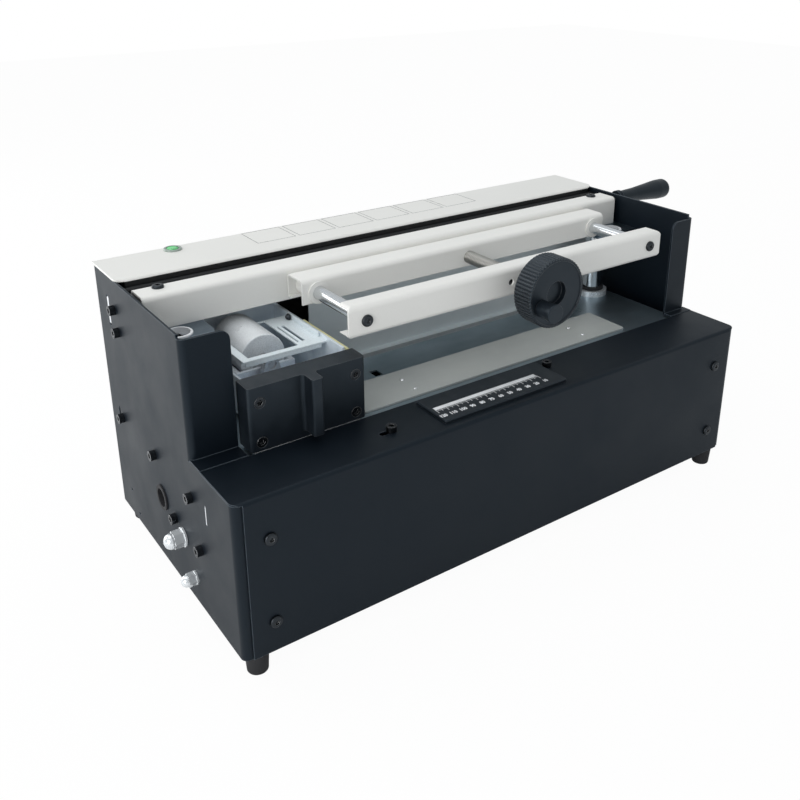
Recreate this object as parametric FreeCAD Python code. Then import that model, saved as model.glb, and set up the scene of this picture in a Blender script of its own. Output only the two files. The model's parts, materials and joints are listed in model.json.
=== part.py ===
# Thermal binding machine for paper backs: a sheet metal case with a clamp that a
# handwheel closes, a table that a side lever lifts and a glue carriage that slides
# along the book. Millimetres, +Z up, +X to the right seen from the front. The
# pieces are drawn from the left, front, lower corner of the case and moved at the
# end, so that the origin is under the middle of the whole machine.

import FreeCAD, Part
import math
import os

os.makedirs("parts", exist_ok=True)

V = FreeCAD.Vector

# Overruns, gaps and fits
OVERRUN = 4.0
SLIVER = 0.000001
SLIDE_GAP = 0.3
RUN_GAP = 0.05
HOLE_GAP = 0.25
WINDOW_GAP = 0.6

# Case
CASE_WIDTH = 541.6
CASE_DEPTH = 269.2
CASE_HEIGHT = 235.7
UPPER_HEIGHT = 102.0
SIDE_SHEET = 2.0
BASE_SHEET = 2.0
COVER_SHEET = 1.5
CASE_BEND = 5.5
COVER_BEND = 3.0
CORNER_INSET = 7.5
CORNER_ROUND = 8.0
FRONT_FLANGE = 40.0
REAR_FLANGE = 18.0
BASE_FLANGE = 14.0
LEDGE_DEPTH = 55.5
LEFT_POST_Y = 72.2
LEFT_POST_WIDTH = 38.6
RIGHT_POST_Y = 63.9
RIGHT_POST_WIDTH = 30.6
POST_DROP = 4.7
POST_ROUND = 8.0

# Holes and slots of the left side plate, the upper ones by their drop from the case top,
# the middle ones by their drop from the ledge
LONG_SLOT_WIDTH = 5.0
LONG_SLOT_Y = 233.5
LONG_SLOT_LENGTH = 28.3
LONG_SLOT_DROP = 19.9
SHORT_SLOT_WIDTH = 4.0
SHORT_SLOT_Y = 239.5
SHORT_SLOT_LENGTH = 17.0
SHORT_SLOT_DROP = 25.7
THIN_SLOT_WIDTH = 2.0
THIN_SLOT_Y = 51.5
THIN_SLOT_DROP = 26.7
SLOT_PLATE_WIDTH = 16.0
SLOT_PLATE_RIM = 8.0
SLOT_PLATE_SHEET = 1.2
GROMMET_Y = 146.0
GROMMET_Z = 64.0
GROMMET_RADIUS = 11.0
GROMMET_BORE = 8.0
GROMMET_LIP = 1.5
UPPER_SCREW_Y = (218.5, 213.8)
UPPER_SCREW_DROP = (29.1, 47.7)
MIDDLE_SCREW_Y = (230.9, 154.3, 78.5)
MIDDLE_SCREW_DROP = 33.5
LOWER_SCREW_Y = (118.8, 67.4)
LOWER_SCREW_Z = 59.2
PIN_HOLE_YZ = ((232.9, 25.8), (217.3, 8.3))
PIN_HOLE_RADIUS = 1.6

# Socket screws: radius and height of the head, socket across its corners and depth
SCREW_HEAD_RADIUS = 4.3
SCREW_HEAD_HEIGHT = 5.0
SCREW_SHANK_RADIUS = 2.4
SCREW_SOCKET_RADIUS = 2.4
SCREW_SOCKET_DEPTH = 2.6
BUTTON_HEAD_RADIUS = 5.0
BUTTON_HEAD_HEIGHT = 2.4
BUTTON_CROWN = 1.5
BUTTON_SOCKET_RADIUS = 2.1
BUTTON_SOCKET_DEPTH = 1.4
SHANK_REACH = 4.0

# Feet
FOOT_X = 14.5
FOOT_FRONT_Y = 11.5
FOOT_REAR_INSET = 14.0
FOOT_HEIGHT = 19.5
FOOT_TOP_RADIUS = 9.6
FOOT_LOW_RADIUS = 8.2
FOOT_ROUND = 1.2
FOOT_BORE = 3.6
FOOT_BORE_DEPTH = 6.0

# Front cover screws and the ledge
FRONT_SCREW_X = 26.5
FRONT_SCREW_INSET = (26.2, 35.4)
LEDGE_SCREW_XY = ((146.7, 25.3), (326.5, 42.0))
KEYHOLE_LENGTH = 11.0
KEYHOLE_WIDTH = 5.4
RULER_X = (188.0, 320.0)
RULER_Y = (9.0, 51.0)
RULER_HEIGHT = 3.0
RULER_EDGE = 0.8
RULER_SLOT_X = (191.6, 301.4)
RULER_SLOT_Y = (26.5, 32.5)
RULER_SLOT_DEPTH = 0.5

# Rear panel
VENT_COUNT = 9
VENT_PITCH = 8.0
FLOOR_VENT_PITCH = 16.0
VENT_WIDTH = 3.0
VENT_LENGTH = 46.0
VENT_X = 210.0
VENT_DROP = 85.7
VENT_ROWS = (0.0, 190.0)
INLET_X = 78.0
INLET_Z = 44.0
INLET_WIDTH = 28.0
INLET_HEIGHT = 21.0
INLET_DEPTH = 26.0
INLET_RIM = 8.0
INLET_RIM_HEIGHT = 2.0
INLET_WELL_DEPTH = 15.0
INLET_WALL = 4.0
INLET_CHAMFER = 4.0
INLET_PIN = (4.0, 2.0, 12.0)
INLET_PIN_SPREAD = 7.0
INLET_PIN_DROP = 3.0

# Top cover and rocker switch
COVER_DEPTH = 63.4
COVER_LIP = 7.0
COVER_SKIRT = 14.0
TOP_SHEET = 2.0
TOP_BEND = 3.0
SWITCH_X = 69.0
SWITCH_INSET = 11.2
SWITCH_RIM_RADIUS = 8.2
SWITCH_RIM_HEIGHT = 1.6
SWITCH_BODY_RADIUS = 6.9
SWITCH_WALL = 0.9
SWITCH_DEPTH = 17.0
SWITCH_WELL = 7.0
ROCKER_RADIUS = 5.6
ROCKER_HEIGHT = 4.4
ROCKER_DISH = 16.0
ROCKER_TILT = 7.0
ROCKER_PIN_RADIUS = 0.8
ROCKER_PIN_REACH = 0.6
ROCKER_PIN_DROP = 1.9
SWITCH_TAB = (4.0, 0.8, 9.0)
SWITCH_TAB_SPREAD = 3.4

# Inner rear wall and the guide bar of the carriage
WALL_Y = 202.0
WALL_SHEET = 1.5
WALL_LEFT_X = 173.0
WALL_LOW_DROP = 31.0
WALL_SILL_DROP = 5.0
WALL_FLANGE = 22.0
BAR_DEPTH = 8.0
BAR_DROP = 16.0
BAR_HEIGHT = 7.0

# Deck, table and inner walls
DECK_DROP = 2.7
DECK_SHEET = 2.0
DECK_INSETS = (22.6, 22.6)
DECK_FRONT_Y = 57.0
DECK_REAR_Y = 158.0
DECK_EAR_INSETS = (62.0, 54.6)
DECK_EAR_Y = 186.0
DECK_LIP = 14.0
INNER_WALL_SHEET = 2.0
INNER_WALL_INSET = 2.0
INNER_WALL_FRONT_Y = 62.0
INNER_WALL_ROUND = 10.0
INNER_WALL_WINDOW_Y = (128.0, 170.0)
INNER_WALL_WINDOW_DROP = 23.0
INNER_WALL_WINDOW_HEIGHT = 36.0
TABLE_INSETS = (147.0, 89.6)
TABLE_FRONT_Y = 65.0
TABLE_LIP = 12.0
PLATE_DEPTH = 48.0
PLATE_SHEET = 2.0
PLATE_HOLE_INSETS = (205.5, 135.6)
PLATE_HOLE_Y = (76.0, 96.0)
PLATE_HOLE_RADIUS = 2.2
TABLE_WINDOW = (8.0, 12.0)
TABLE_WINDOW_XY = (196.0, 124.0)

# Lifting gear under the table
SHAFT_Y = 103.0
SHAFT_Z = 50.6
SHAFT_RADIUS = 8.0
SHAFT_STUD_RADIUS = 4.0
LIFT_HEIGHT = 52.0
LEVER_SWING = 105.0
LIFT_PLATE_INSETS = (186.0, 131.6)
LIFT_PLATE_SHEET = 4.0
LIFT_PLATE_Y = (68.0, 146.0)
LIFT_PLATE_LOW_Z = 30.0
LIFT_PLATE_ROUND = 6.0
FORK_WIDTH = 20.0
FORK_ROUND = 5.0
FORK_TOP_GAP = 3.0
LIFT_FLANGE = 14.0
FOLLOWER_RADIUS = 8.0
FOLLOWER_PIN_RADIUS = 5.0
FOLLOWER_HEIGHT = 28.0
FOLLOWER_HEAD = 2.0
CAM_THICKNESS = 8.0
CAM_HUB_RADIUS = 14.0
CAM_HUB_LENGTH = 8.0
CAM_LEAD_ANGLE = 12.0
CAM_DWELL_ANGLE = 10.0
CAM_NOSE_ROUND = 5.0
CAM_GAP = 1.0
CAM_STEPS = 24
CAM_WINDOW_RADIUS = 9.0
CAM_WINDOW_REACH_SHARE = 0.62
GUIDE_RADIUS = 5.0
GUIDE_Y = (72.0, 130.0)
GUIDE_TOP_DROP = 9.0
GUIDE_FOOT_RADIUS = 11.0
GUIDE_FOOT_HEIGHT = 5.0
BUSH_RADIUS = 8.0
BUSH_LENGTH = 26.0
BUSH_SEAT = 1.5
STAY_Y = 84.8
STAY_Z = 23.0
STAY_RADIUS = 5.0
STAY_STUD_RADIUS = 3.0
SHAFT_BUSH_RADIUS = 11.0
SHAFT_BUSH_FLANGE = 13.5
SHAFT_BUSH_LENGTH = 8.0
SHAFT_BUSH_RIM = 2.0

# Cap nuts and washers, by the thread radius
CAP_NUT_FLATS = 13.0
CAP_NUT_HEIGHT = 15.0
CAP_NUT_HEX = 8.0
CAP_WASHER_RADIUS = 8.2
CAP_WASHER_HEIGHT = 1.6
CAP_DOME_SHARE = 0.9
STAY_NUT_FLATS = 10.0
STAY_NUT_HEIGHT = 11.0
STAY_NUT_HEX = 6.0
STAY_WASHER_RADIUS = 5.8

# Lever
LEVER_GRIP_Y = 175.0
LEVER_GRIP_DROP = 8.7
LEVER_GAP = 6.0
LEVER_SHEET = 5.0
LEVER_WIDTH = 20.0
LEVER_END_WIDTH = 16.0
LEVER_HUB_RADIUS = 12.5
GRIP_LENGTH = 75.1
GRIP_BASE_RADIUS = 6.6
GRIP_WAIST_RADIUS = 7.4
GRIP_END_RADIUS = 10.8
GRIP_END_ROUND = 7.0
GRIP_WAIST_ROUND = 14.0
GRIP_WAIST_SHARE = 0.3
GRIP_FULL_SHARE = 0.78
GRIP_PIN_RADIUS = 4.0
GRIP_PIN_LENGTH = 62.0

# Columns, brackets and the fixed rail
COLUMN_X = 41.5
COLUMN_Y = 157.5
COLUMN_RADIUS = 10.0
COLUMN_FLANGE_RADIUS = 16.5
COLUMN_FLANGE_HEIGHT = 6.0
WIPER_RADIUS = 12.5
WIPER_HEIGHT = 3.0
BRACKET_SHEET = 4.0
BRACKET_X = 55.0
BRACKET_Y = (137.0, 200.0)
BRACKET_ROUND = 5.0
RING_X = 27.8
RING_Y = 148.5
RING_RADIUS = 11.5
RING_WALL = 2.0
RING_RISE = 1.5
RAIL_INSETS = (7.0, 7.0)
RAIL_Y = (164.5, 190.8)
RAIL_HEIGHT = 29.1
RAIL_DROP = 3.6
CHANNEL_SHEET = 2.0
CHANNEL_BEND = 4.5
RAIL_SCREW_X = 26.5
RAIL_SCREW_Y = 182.0
SPACER_RADIUS = 4.2

# Moving jaw, beam, rods and lead screw
JAW_INSETS = (132.9, 53.8)
JAW_Y = (136.8, 163.5)
JAW_HEIGHT = 21.8
JAW_DROP = 7.8
JAW_FOOT = 6.0
BEAM_INSETS = (131.7, 53.2)
BEAM_Y = (60.4, 76.7)
BEAM_HEIGHT = 26.6
BEAM_DROP = 7.4
BEAM_HOLE_OFFSET = 13.2
BEAM_HOLE_RADIUS = 3.0
CLAMP_DROP = 20.6
GUIDE_ROD_INSETS = (148.3, 68.2)
GUIDE_ROD_RADIUS = 6.0
ROD_STUD_RADIUS = 3.5
ROD_NUT_FLATS = 11.0
ROD_NUT_HEIGHT = 6.0
JAW_BUSH_RADIUS = 8.5
JAW_BUSH_FLANGE = 10.0
JAW_BUSH_RIM = 1.5
LEAD_RADIUS = 6.0
LEAD_NECK_RADIUS = 4.5
LEAD_HEAD_RADIUS = 7.0
LEAD_HEAD_HEIGHT = 3.0
LEAD_LENGTH_IN_WHEEL = 12.0
THREAD_LEAD = 4.0
JAW_END_GAP = 20.1
NUT_RADIUS = 9.0
THRUST_SHEET = 4.0
THRUST_WIDTH = 32.0

# Handwheel and crank knob
WHEEL_FRONT_Y = 17.0
WHEEL_REAR_Y = 38.0
WHEEL_RADIUS = 31.0
WHEEL_TOOTH_DEPTH = 1.1
WHEEL_TEETH = 60
TOOTH_TOP_SHARE = 0.2
TOOTH_ROOT_SHARE = 0.8
TOOTH_FLANK_SHARE = 0.13
WHEEL_RIM = 2.6
WHEEL_DISH = 1.0
WHEEL_WELL_RADIUS = 10.8
WHEEL_WELL_DEPTH = 5.0
WHEEL_EDGE = 1.4
COLLAR_RADIUS = 9.0
COLLAR_GAP = 2.4
CRANK_RADIUS = 19.0
CRANK_ANGLE = 210.0
CRANK_PIN_RADIUS = 3.0
CRANK_HEAD_RADIUS = 4.5
CRANK_HEAD_HEIGHT = 2.4
KNOB_RADIUS = 8.6
KNOB_WAIST_RADIUS = 7.4
KNOB_EDGE = 0.8
KNOB_FRONT_Y = 0.5
KNOB_GAP = 0.6
KNOB_WALL = 2.5
KNOB_WAIST_ROUND = 4.0

# Glue carriage
CARRIAGE_END_GAP = 53.6
BLOCK_X = (41.5, 143.0)
BLOCK_Y = (56.2, 75.5)
BLOCK_LIFT = 3.0
BLOCK_DROP = 48.3
BLOCK_ROUND = 3.0
FIN_X = (88.0, 97.5)
FIN_DEPTH = 14.2
FIN_ROOT = 3.0
FIN_FOOT_GAP = 1.0
BLOCK_SCREW_X = (51.0, 134.0)
BLOCK_SCREW_INSETS = (7.0, 13.4)
BLOCK_COUNTERBORE = 5.0
PAN_X = (59.5, 136.0)
PAN_LEFT_WING = 16.0
PAN_REAR_Y = 197.0
PAN_DROP = 45.7
PAN_SHEET = 2.0
PAN_FLOOR_GAP = 3.8
PAN_SHELF = 4.0
PAN_SHELF_DROP = 5.0
PAN_HOLE_X = (72.0, 112.0)
PAN_HOLE_RISE = 38.0
PAN_HOLE_RADIUS = 3.0
PAN_SCREW_X = (54.0, 98.0)
PAN_SCREW_RADIUS = 2.6
PAN_SCREW_HEIGHT = 1.8
PAN_SCREW_EDGE = 0.5
FRONT_SLIDER_Y = (57.6, 64.4)
REAR_SLIDER_FRONT_Y = 190.0
REAR_SLIDER_GAP = 1.0
SLIDER_INSET = 4.0
ROLLER_X = 88.0
ROLLER_DROP = 60.7
ROLLER_RADIUS = 20.0
ROLLER_Y = (125.0, 180.0)
ROLLER_EDGE = 1.0
ROLLER_BORE = 4.0
ROLLER_SHAFT_Y = (110.0, 192.5)
BEARING_Y = (112.0, 188.0)
BEARING_DEPTH = 6.0
BEARING_FOOT_WIDTH = 28.0
BEARING_FOOT_HEIGHT = 6.0
BEARING_HEAD_RADIUS = 6.5
TANK_GAP = 3.0
TANK_WALL = 3.0
TANK_DROP = 66.7
TANK_END_GAP = 2.0
HEATER_RADIUS = 3.2
HEATER_PROUD = 3.0
HEATER_DROP = 4.0
FRAME_DROP = 49.7
FRAME_SHEET = 1.5
FRAME_FRONT_Y = 100.0
FRAME_BAR = 6.0
FRAME_LIP = 8.0
FRAME_SIDE = 2.0
FRAME_REAR_GAP = 6.0
FRAME_RIB_X = 129.5
FRAME_RIB_RISE = 5.0
FRAME_SLOT_X = (113.0, 120.0)
FRAME_SLOT_Y = (110.0, 150.0)
BLADE_WIDTH = 2.4
WIPER_STRIP_WIDTH = 2.2
WIPER_STRIP_HEIGHT = 1.6
WIPER_STRIP_REAR_Y = 149.0

# Control board and terminal block on the base plate
BOARD_INSETS = (330.0, 91.6)
BOARD_DEPTH = 44.0
BOARD_REAR_GAP = 11.2
BOARD_SHEET = 1.6
BOARD_STANDOFF = 8.0
STANDOFF_RADIUS = 3.0
STANDOFF_INSET = 6.0
RELAY_SIZE = (28.0, 20.0, 17.0)
RELAY_PLACE_SHARES = (0.08, 0.45)
CAN_RADIUS = 9.0
CAN_HEIGHT = 22.0
CAN_PLACE_SHARES = (0.58, 0.5)


def point(axis, u, v, w):
    """Point at u, v across an axis and at w along it."""
    if axis == "x":
        return V(w, u, v)
    if axis == "y":
        return V(u, w, v)
    return V(u, v, w)


def around(middle, size):
    """Pair of values a size apart with this middle."""
    return (middle - size / 2, middle + size / 2)


def beyond(pair):
    """Pair of values widened by the overrun of a cutter."""
    return (pair[0] - OVERRUN, pair[1] + OVERRUN)


def block(x, y, z):
    """Box between the two values of each pair."""
    size = (x[1] - x[0], y[1] - y[0], z[1] - z[0])
    return Part.makeBox(*size, V(x[0], y[0], z[0]))


def rod(axis, u, v, radius, start, end):
    """Round bar along an axis."""
    return Part.makeCylinder(radius, end - start, point(axis, u, v, start), point(axis, 0, 0, 1))


def tube(axis, u, v, outer, inner, start, end):
    """Round bar with a bore along an axis."""
    return rod(axis, u, v, outer, start, end).cut(rod(axis, u, v, inner, *beyond((start, end))))


def cut_all(shape, tools):
    """Shape without a list of tools."""
    for tool in tools:
        shape = shape.cut(tool)
    return shape


def fuse_all(shapes):
    """One solid from pieces that share volume or faces."""
    joined = shapes[0]
    for shape in shapes[1:]:
        joined = joined.fuse(shape)
    return joined.removeSplitter()


def closed_face(origin, across, along, corners):
    """Flat face whose corners (u, v, radius) lie in a plane; a radius rounds the corner."""
    places = [origin + across * u + along * v for u, v, radius in corners]
    ends = []
    for i, (u, v, radius) in enumerate(corners):
        here = places[i]
        if radius <= 0:
            ends.append((here, here, here))
            continue
        before = (places[i - 1] - here).normalize()
        after = (places[(i + 1) % len(places)] - here).normalize()
        half = before.getAngle(after) / 2
        reach = radius / math.tan(half)
        inward = (before + after).normalize()
        middle = here + inward * (radius / math.sin(half) - radius)
        ends.append((here + before * reach, middle, here + after * reach))
    edges = []
    for i, (first, middle, last) in enumerate(ends):
        start = ends[i - 1][2]
        if start.distanceToPoint(first) > SLIVER:
            edges.append(Part.makeLine(start, first))
        if first.distanceToPoint(last) > SLIVER:
            edges.append(Part.Arc(first, middle, last).toShape())
    return Part.Face(Part.Wire(edges))


def prism(axis, corners, start, end):
    """Solid with the outline (u, v, radius) between two places along an axis."""
    across = point(axis, 1, 0, 0)
    along = point(axis, 0, 1, 0)
    face = closed_face(point(axis, 0, 0, start), across, along, corners)
    return face.extrude(point(axis, 0, 0, end - start))


def plate(axis, u, v, start, end, radius=0.0):
    """Rectangular prism between the pairs u and v with rounded corners."""
    corners = [(u[0], v[0], radius), (u[1], v[0], radius), (u[1], v[1], radius), (u[0], v[1], radius)]
    return prism(axis, corners, start, end)


def turned(axis, u, v, corners):
    """Solid of revolution about an axis line, with corners (radius, place, rounding)."""
    centre = point(axis, u, v, 0)
    along = point(axis, 0, 0, 1)
    across = point(axis, 1, 0, 0)
    face = closed_face(centre, across, along, corners)
    return face.revolve(centre, along, 360)


def hexagon(axis, u, v, corner_radius, start, end):
    """Six-sided bar along an axis."""
    corners = []
    for i in range(6):
        angle = math.radians(60 * i)
        corners.append((u + corner_radius * math.cos(angle), v + corner_radius * math.sin(angle), 0))
    return prism(axis, corners, start, end)


def hex_corner(flats):
    """Corner radius of a hexagon from its width across the flats."""
    return flats / math.sqrt(3)


def slot(axis, u, v, width, start, end):
    """Upright slot cutter, v pair long, with round ends."""
    return plate(axis, around(u, width), v, start, end, width / 2)


def left_of(first, second):
    """Unit normal to the left of a step in the plane."""
    length = math.hypot(second[0] - first[0], second[1] - first[1])
    return (-(second[1] - first[1]) / length, (second[0] - first[0]) / length)


def sheet(axis, path, thickness, bend, start, end):
    """Bent sheet: the path of its outer face, thickened to the left, with round bends."""
    outer = []
    inner = []
    last = len(path) - 1
    for i, here in enumerate(path):
        before = left_of(path[max(i - 1, 0)], path[max(i, 1)])
        after = left_of(path[min(i, last - 1)], path[min(i + 1, last)])
        spread = 1 + before[0] * after[0] + before[1] * after[1]
        shift = (thickness * (before[0] + after[0]) / spread, thickness * (before[1] + after[1]) / spread)
        turn = before[0] * after[1] - before[1] * after[0]
        path_round = 0
        inner_round = 0
        if 0 < i < last:
            path_round = bend if turn > 0 else bend - thickness
            inner_round = bend - thickness if turn > 0 else bend
        outer.append((here[0], here[1], path_round))
        inner.append((here[0] + shift[0], here[1] + shift[1], inner_round))
    return prism(axis, outer + inner[::-1], start, end)


def flat_place(axis, spot):
    """Coordinates u, v of a point across an axis."""
    if axis == "x":
        return spot.y, spot.z
    if axis == "y":
        return spot.x, spot.z
    return spot.x, spot.y


def fillet(shape, axis, radius, places):
    """Rounds the straight edges along an axis that pass through the places (u, v)."""
    along = point(axis, 0, 0, 1)
    chosen = []
    for edge in shape.Edges:
        first = edge.Vertexes[0].Point
        step = edge.Vertexes[-1].Point - first
        if edge.Curve.TypeId != "Part::GeomLine" or step.Length < radius:
            continue
        if step.cross(along).Length > SLIVER * step.Length + SLIVER:
            continue
        u, v = flat_place(axis, first)
        if any(math.hypot(u - a, v - b) < SLIDE_GAP for a, b in places):
            chosen.append(edge)
    return shape.makeFillet(radius, chosen)


def mirrored(shape):
    """Copy on the other side of the case's middle plane."""
    return shape.mirror(V(CASE_WIDTH / 2, 0, 0), V(1, 0, 0))


def with_twin(shape):
    """A shape and its mirror twin as two solids."""
    return Part.makeCompound([shape, mirrored(shape)])


def socket_screw(axis, u, v, seat, way):
    """Cylinder head screw with a hexagon socket; way is the side of the head."""
    head_end = seat + way * SCREW_HEAD_HEIGHT
    shank_end = seat - way * SHANK_REACH
    low, high = sorted((seat, head_end))
    screw = rod(axis, u, v, SCREW_HEAD_RADIUS, low, high)
    low, high = sorted((seat, shank_end))
    screw = screw.fuse(rod(axis, u, v, SCREW_SHANK_RADIUS, low, high))
    low, high = sorted((head_end - way * SCREW_SOCKET_DEPTH, head_end + way * OVERRUN))
    return screw.cut(hexagon(axis, u, v, SCREW_SOCKET_RADIUS, low, high)).removeSplitter()


def button_screw(axis, u, v, seat, way):
    """Low round head screw with a hexagon socket; way is the side of the head."""
    head_end = seat + way * BUTTON_HEAD_HEIGHT
    shank_end = seat - way * SHANK_REACH
    corners = [(0, shank_end, 0), (0, head_end, 0), (BUTTON_HEAD_RADIUS, head_end, BUTTON_CROWN),
               (BUTTON_HEAD_RADIUS, seat, 0), (SCREW_SHANK_RADIUS, seat, 0), (SCREW_SHANK_RADIUS, shank_end, 0)]
    screw = turned(axis, u, v, corners)
    low, high = sorted((head_end - way * BUTTON_SOCKET_DEPTH, head_end + way * OVERRUN))
    return screw.cut(hexagon(axis, u, v, BUTTON_SOCKET_RADIUS, low, high))


def cap_nut(u, v, seat, way, flats, hex_height, height, washer_radius, thread_radius):
    """Domed nut with its washer along the x axis; way is the side of the dome."""
    washer_end = seat + way * CAP_WASHER_HEIGHT
    hex_end = washer_end + way * hex_height
    tip = washer_end + way * height
    dome = flats / 2
    corners = [(0, hex_end, 0), (dome, hex_end, 0), (dome, tip, dome * CAP_DOME_SHARE), (0, tip, 0)]
    low, high = sorted((washer_end, hex_end))
    nut = hexagon("x", u, v, hex_corner(flats), low, high).fuse(turned("x", u, v, corners))
    low, high = sorted((washer_end - way * OVERRUN, hex_end))
    nut = nut.cut(rod("x", u, v, thread_radius + RUN_GAP, low, high))
    low, high = sorted((seat, washer_end))
    return nut, tube("x", u, v, washer_radius, thread_radius + RUN_GAP, low, high)


def across_case(insets):
    """Places along x at these distances from the left and the right of the case."""
    return (insets[0], CASE_WIDTH - insets[1])


def under(top, drop, height):
    """Pair of heights whose upper one is a drop below the top."""
    return (top - drop - height, top - drop)


# Places worked out from the driving dimensions
BOX_HEIGHT = CASE_HEIGHT - UPPER_HEIGHT
FLANGE_FRONT_Y = COVER_SHEET
FLANGE_REAR_Y = CASE_DEPTH - COVER_SHEET - COVER_SHEET
LEDGE_Z = BOX_HEIGHT - COVER_SHEET
PLATE_TOP = CASE_HEIGHT - TOP_SHEET
POST_TOP = CASE_HEIGHT - POST_DROP
RIGHT_INNER_X = CASE_WIDTH - SIDE_SHEET
LONG_SLOT_Z = under(CASE_HEIGHT, LONG_SLOT_DROP, LONG_SLOT_LENGTH)
SHORT_SLOT_Z = under(BOX_HEIGHT, SHORT_SLOT_DROP, SHORT_SLOT_LENGTH)
THIN_SLOT_Z = under(BOX_HEIGHT, THIN_SLOT_DROP, SHORT_SLOT_LENGTH)
SIDE_SCREW_YZ = [(y, CASE_HEIGHT - drop) for y, drop in zip(UPPER_SCREW_Y, UPPER_SCREW_DROP)]
SIDE_SCREW_YZ += [(y, BOX_HEIGHT - MIDDLE_SCREW_DROP) for y in MIDDLE_SCREW_Y]
SIDE_SCREW_YZ += [(y, LOWER_SCREW_Z) for y in LOWER_SCREW_Y]
FRONT_SCREW_Z = (FRONT_SCREW_INSET[0], BOX_HEIGHT - FRONT_SCREW_INSET[1])
VENT_Z = CASE_HEIGHT - VENT_DROP
COVER_FRONT_Y = CASE_DEPTH - COVER_DEPTH
SWITCH_Y = CASE_DEPTH - SWITCH_INSET
DECK_TOP = BOX_HEIGHT - DECK_DROP
DECK_LOW_Z = DECK_TOP - DECK_SHEET
DECK_X = across_case(DECK_INSETS)
DECK_EAR_X = across_case(DECK_EAR_INSETS)
WALL_LOW_Z = DECK_TOP - WALL_LOW_DROP
WALL_SILL_Z = DECK_TOP - WALL_SILL_DROP
BAR_Z = under(DECK_TOP, BAR_DROP, BAR_HEIGHT)
INNER_WALL_X = DECK_X[0] + INNER_WALL_INSET
INNER_WALL_WINDOW_Z = under(DECK_TOP, INNER_WALL_WINDOW_DROP, INNER_WALL_WINDOW_HEIGHT)
TABLE_X = across_case(TABLE_INSETS)
PLATE_HOLE_X = across_case(PLATE_HOLE_INSETS)
LIFT_PLATE_X = across_case(LIFT_PLATE_INSETS)
GUIDE_TOP = DECK_TOP - GUIDE_TOP_DROP
LEVER_GRIP_Z = CASE_HEIGHT - LEVER_GRIP_DROP
RAIL_X = across_case(RAIL_INSETS)
RAIL_Z = under(CASE_HEIGHT, RAIL_DROP, RAIL_HEIGHT)
JAW_X = across_case(JAW_INSETS)
JAW_Z = under(CASE_HEIGHT, JAW_DROP, JAW_HEIGHT)
JAW_TRAVEL = JAW_Y[0] - BEAM_Y[1] - JAW_END_GAP
BEAM_X = across_case(BEAM_INSETS)
BEAM_Z = under(CASE_HEIGHT, BEAM_DROP, BEAM_HEIGHT)
CLAMP_Z = CASE_HEIGHT - CLAMP_DROP
GUIDE_ROD_X = across_case(GUIDE_ROD_INSETS)
SCREW_X = sum(BEAM_X) / 2
BEAM_HOLE_X = SCREW_X - BEAM_HOLE_OFFSET
BRACKET_TOP = RAIL_Z[0]
BRACKET_LOW = BRACKET_TOP - BRACKET_SHEET
LEVER_X = CASE_WIDTH + LEVER_GAP
LEVER_END_X = LEVER_X + LEVER_SHEET
CRANK_X = SCREW_X + CRANK_RADIUS * math.cos(math.radians(CRANK_ANGLE))
CRANK_Z = CLAMP_Z + CRANK_RADIUS * math.sin(math.radians(CRANK_ANGLE))
BLOCK_Z = (DECK_TOP + BLOCK_LIFT, CASE_HEIGHT - BLOCK_DROP)
BLOCK_SCREW_Z = (BLOCK_Z[0] + BLOCK_SCREW_INSETS[0], BLOCK_Z[1] - BLOCK_SCREW_INSETS[1])
PAN_TOP = CASE_HEIGHT - PAN_DROP
ROLLER_Z = CASE_HEIGHT - ROLLER_DROP
TANK_TOP = CASE_HEIGHT - TANK_DROP
FRAME_Z = CASE_HEIGHT - FRAME_DROP
CARRIAGE_TRAVEL = CASE_WIDTH - BLOCK_X[1] - CARRIAGE_END_GAP
BOARD_X = across_case(BOARD_INSETS)
BOARD_Y = (CASE_DEPTH - BOARD_REAR_GAP - BOARD_DEPTH, CASE_DEPTH - BOARD_REAR_GAP)
PAN_FLOOR_Z = DECK_TOP + PAN_FLOOR_GAP
PAN_FLOOR_TOP = PAN_FLOOR_Z + PAN_SHEET
PAN_HOLE_Z = PAN_FLOOR_Z + PAN_HOLE_RISE
PLATE_TOP_Z = DECK_TOP + PLATE_SHEET
CAM_X = (LIFT_PLATE_X[0] + LIFT_PLATE_SHEET + CAM_GAP, LIFT_PLATE_X[1] - CAM_GAP - CAM_THICKNESS)
BUSH_OFFSET = BUSH_RADIUS - BUSH_SEAT
GUIDE_X = (LIFT_PLATE_X[0] - BUSH_OFFSET, LIFT_PLATE_X[1] + LIFT_PLATE_SHEET + BUSH_OFFSET)
FLOOR_TOP = SIDE_SHEET + BASE_SHEET
FOLLOWER_Z = SHAFT_Z + FOLLOWER_HEIGHT
CUT_DECK = beyond((DECK_LOW_Z, DECK_TOP))


# Case

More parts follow.
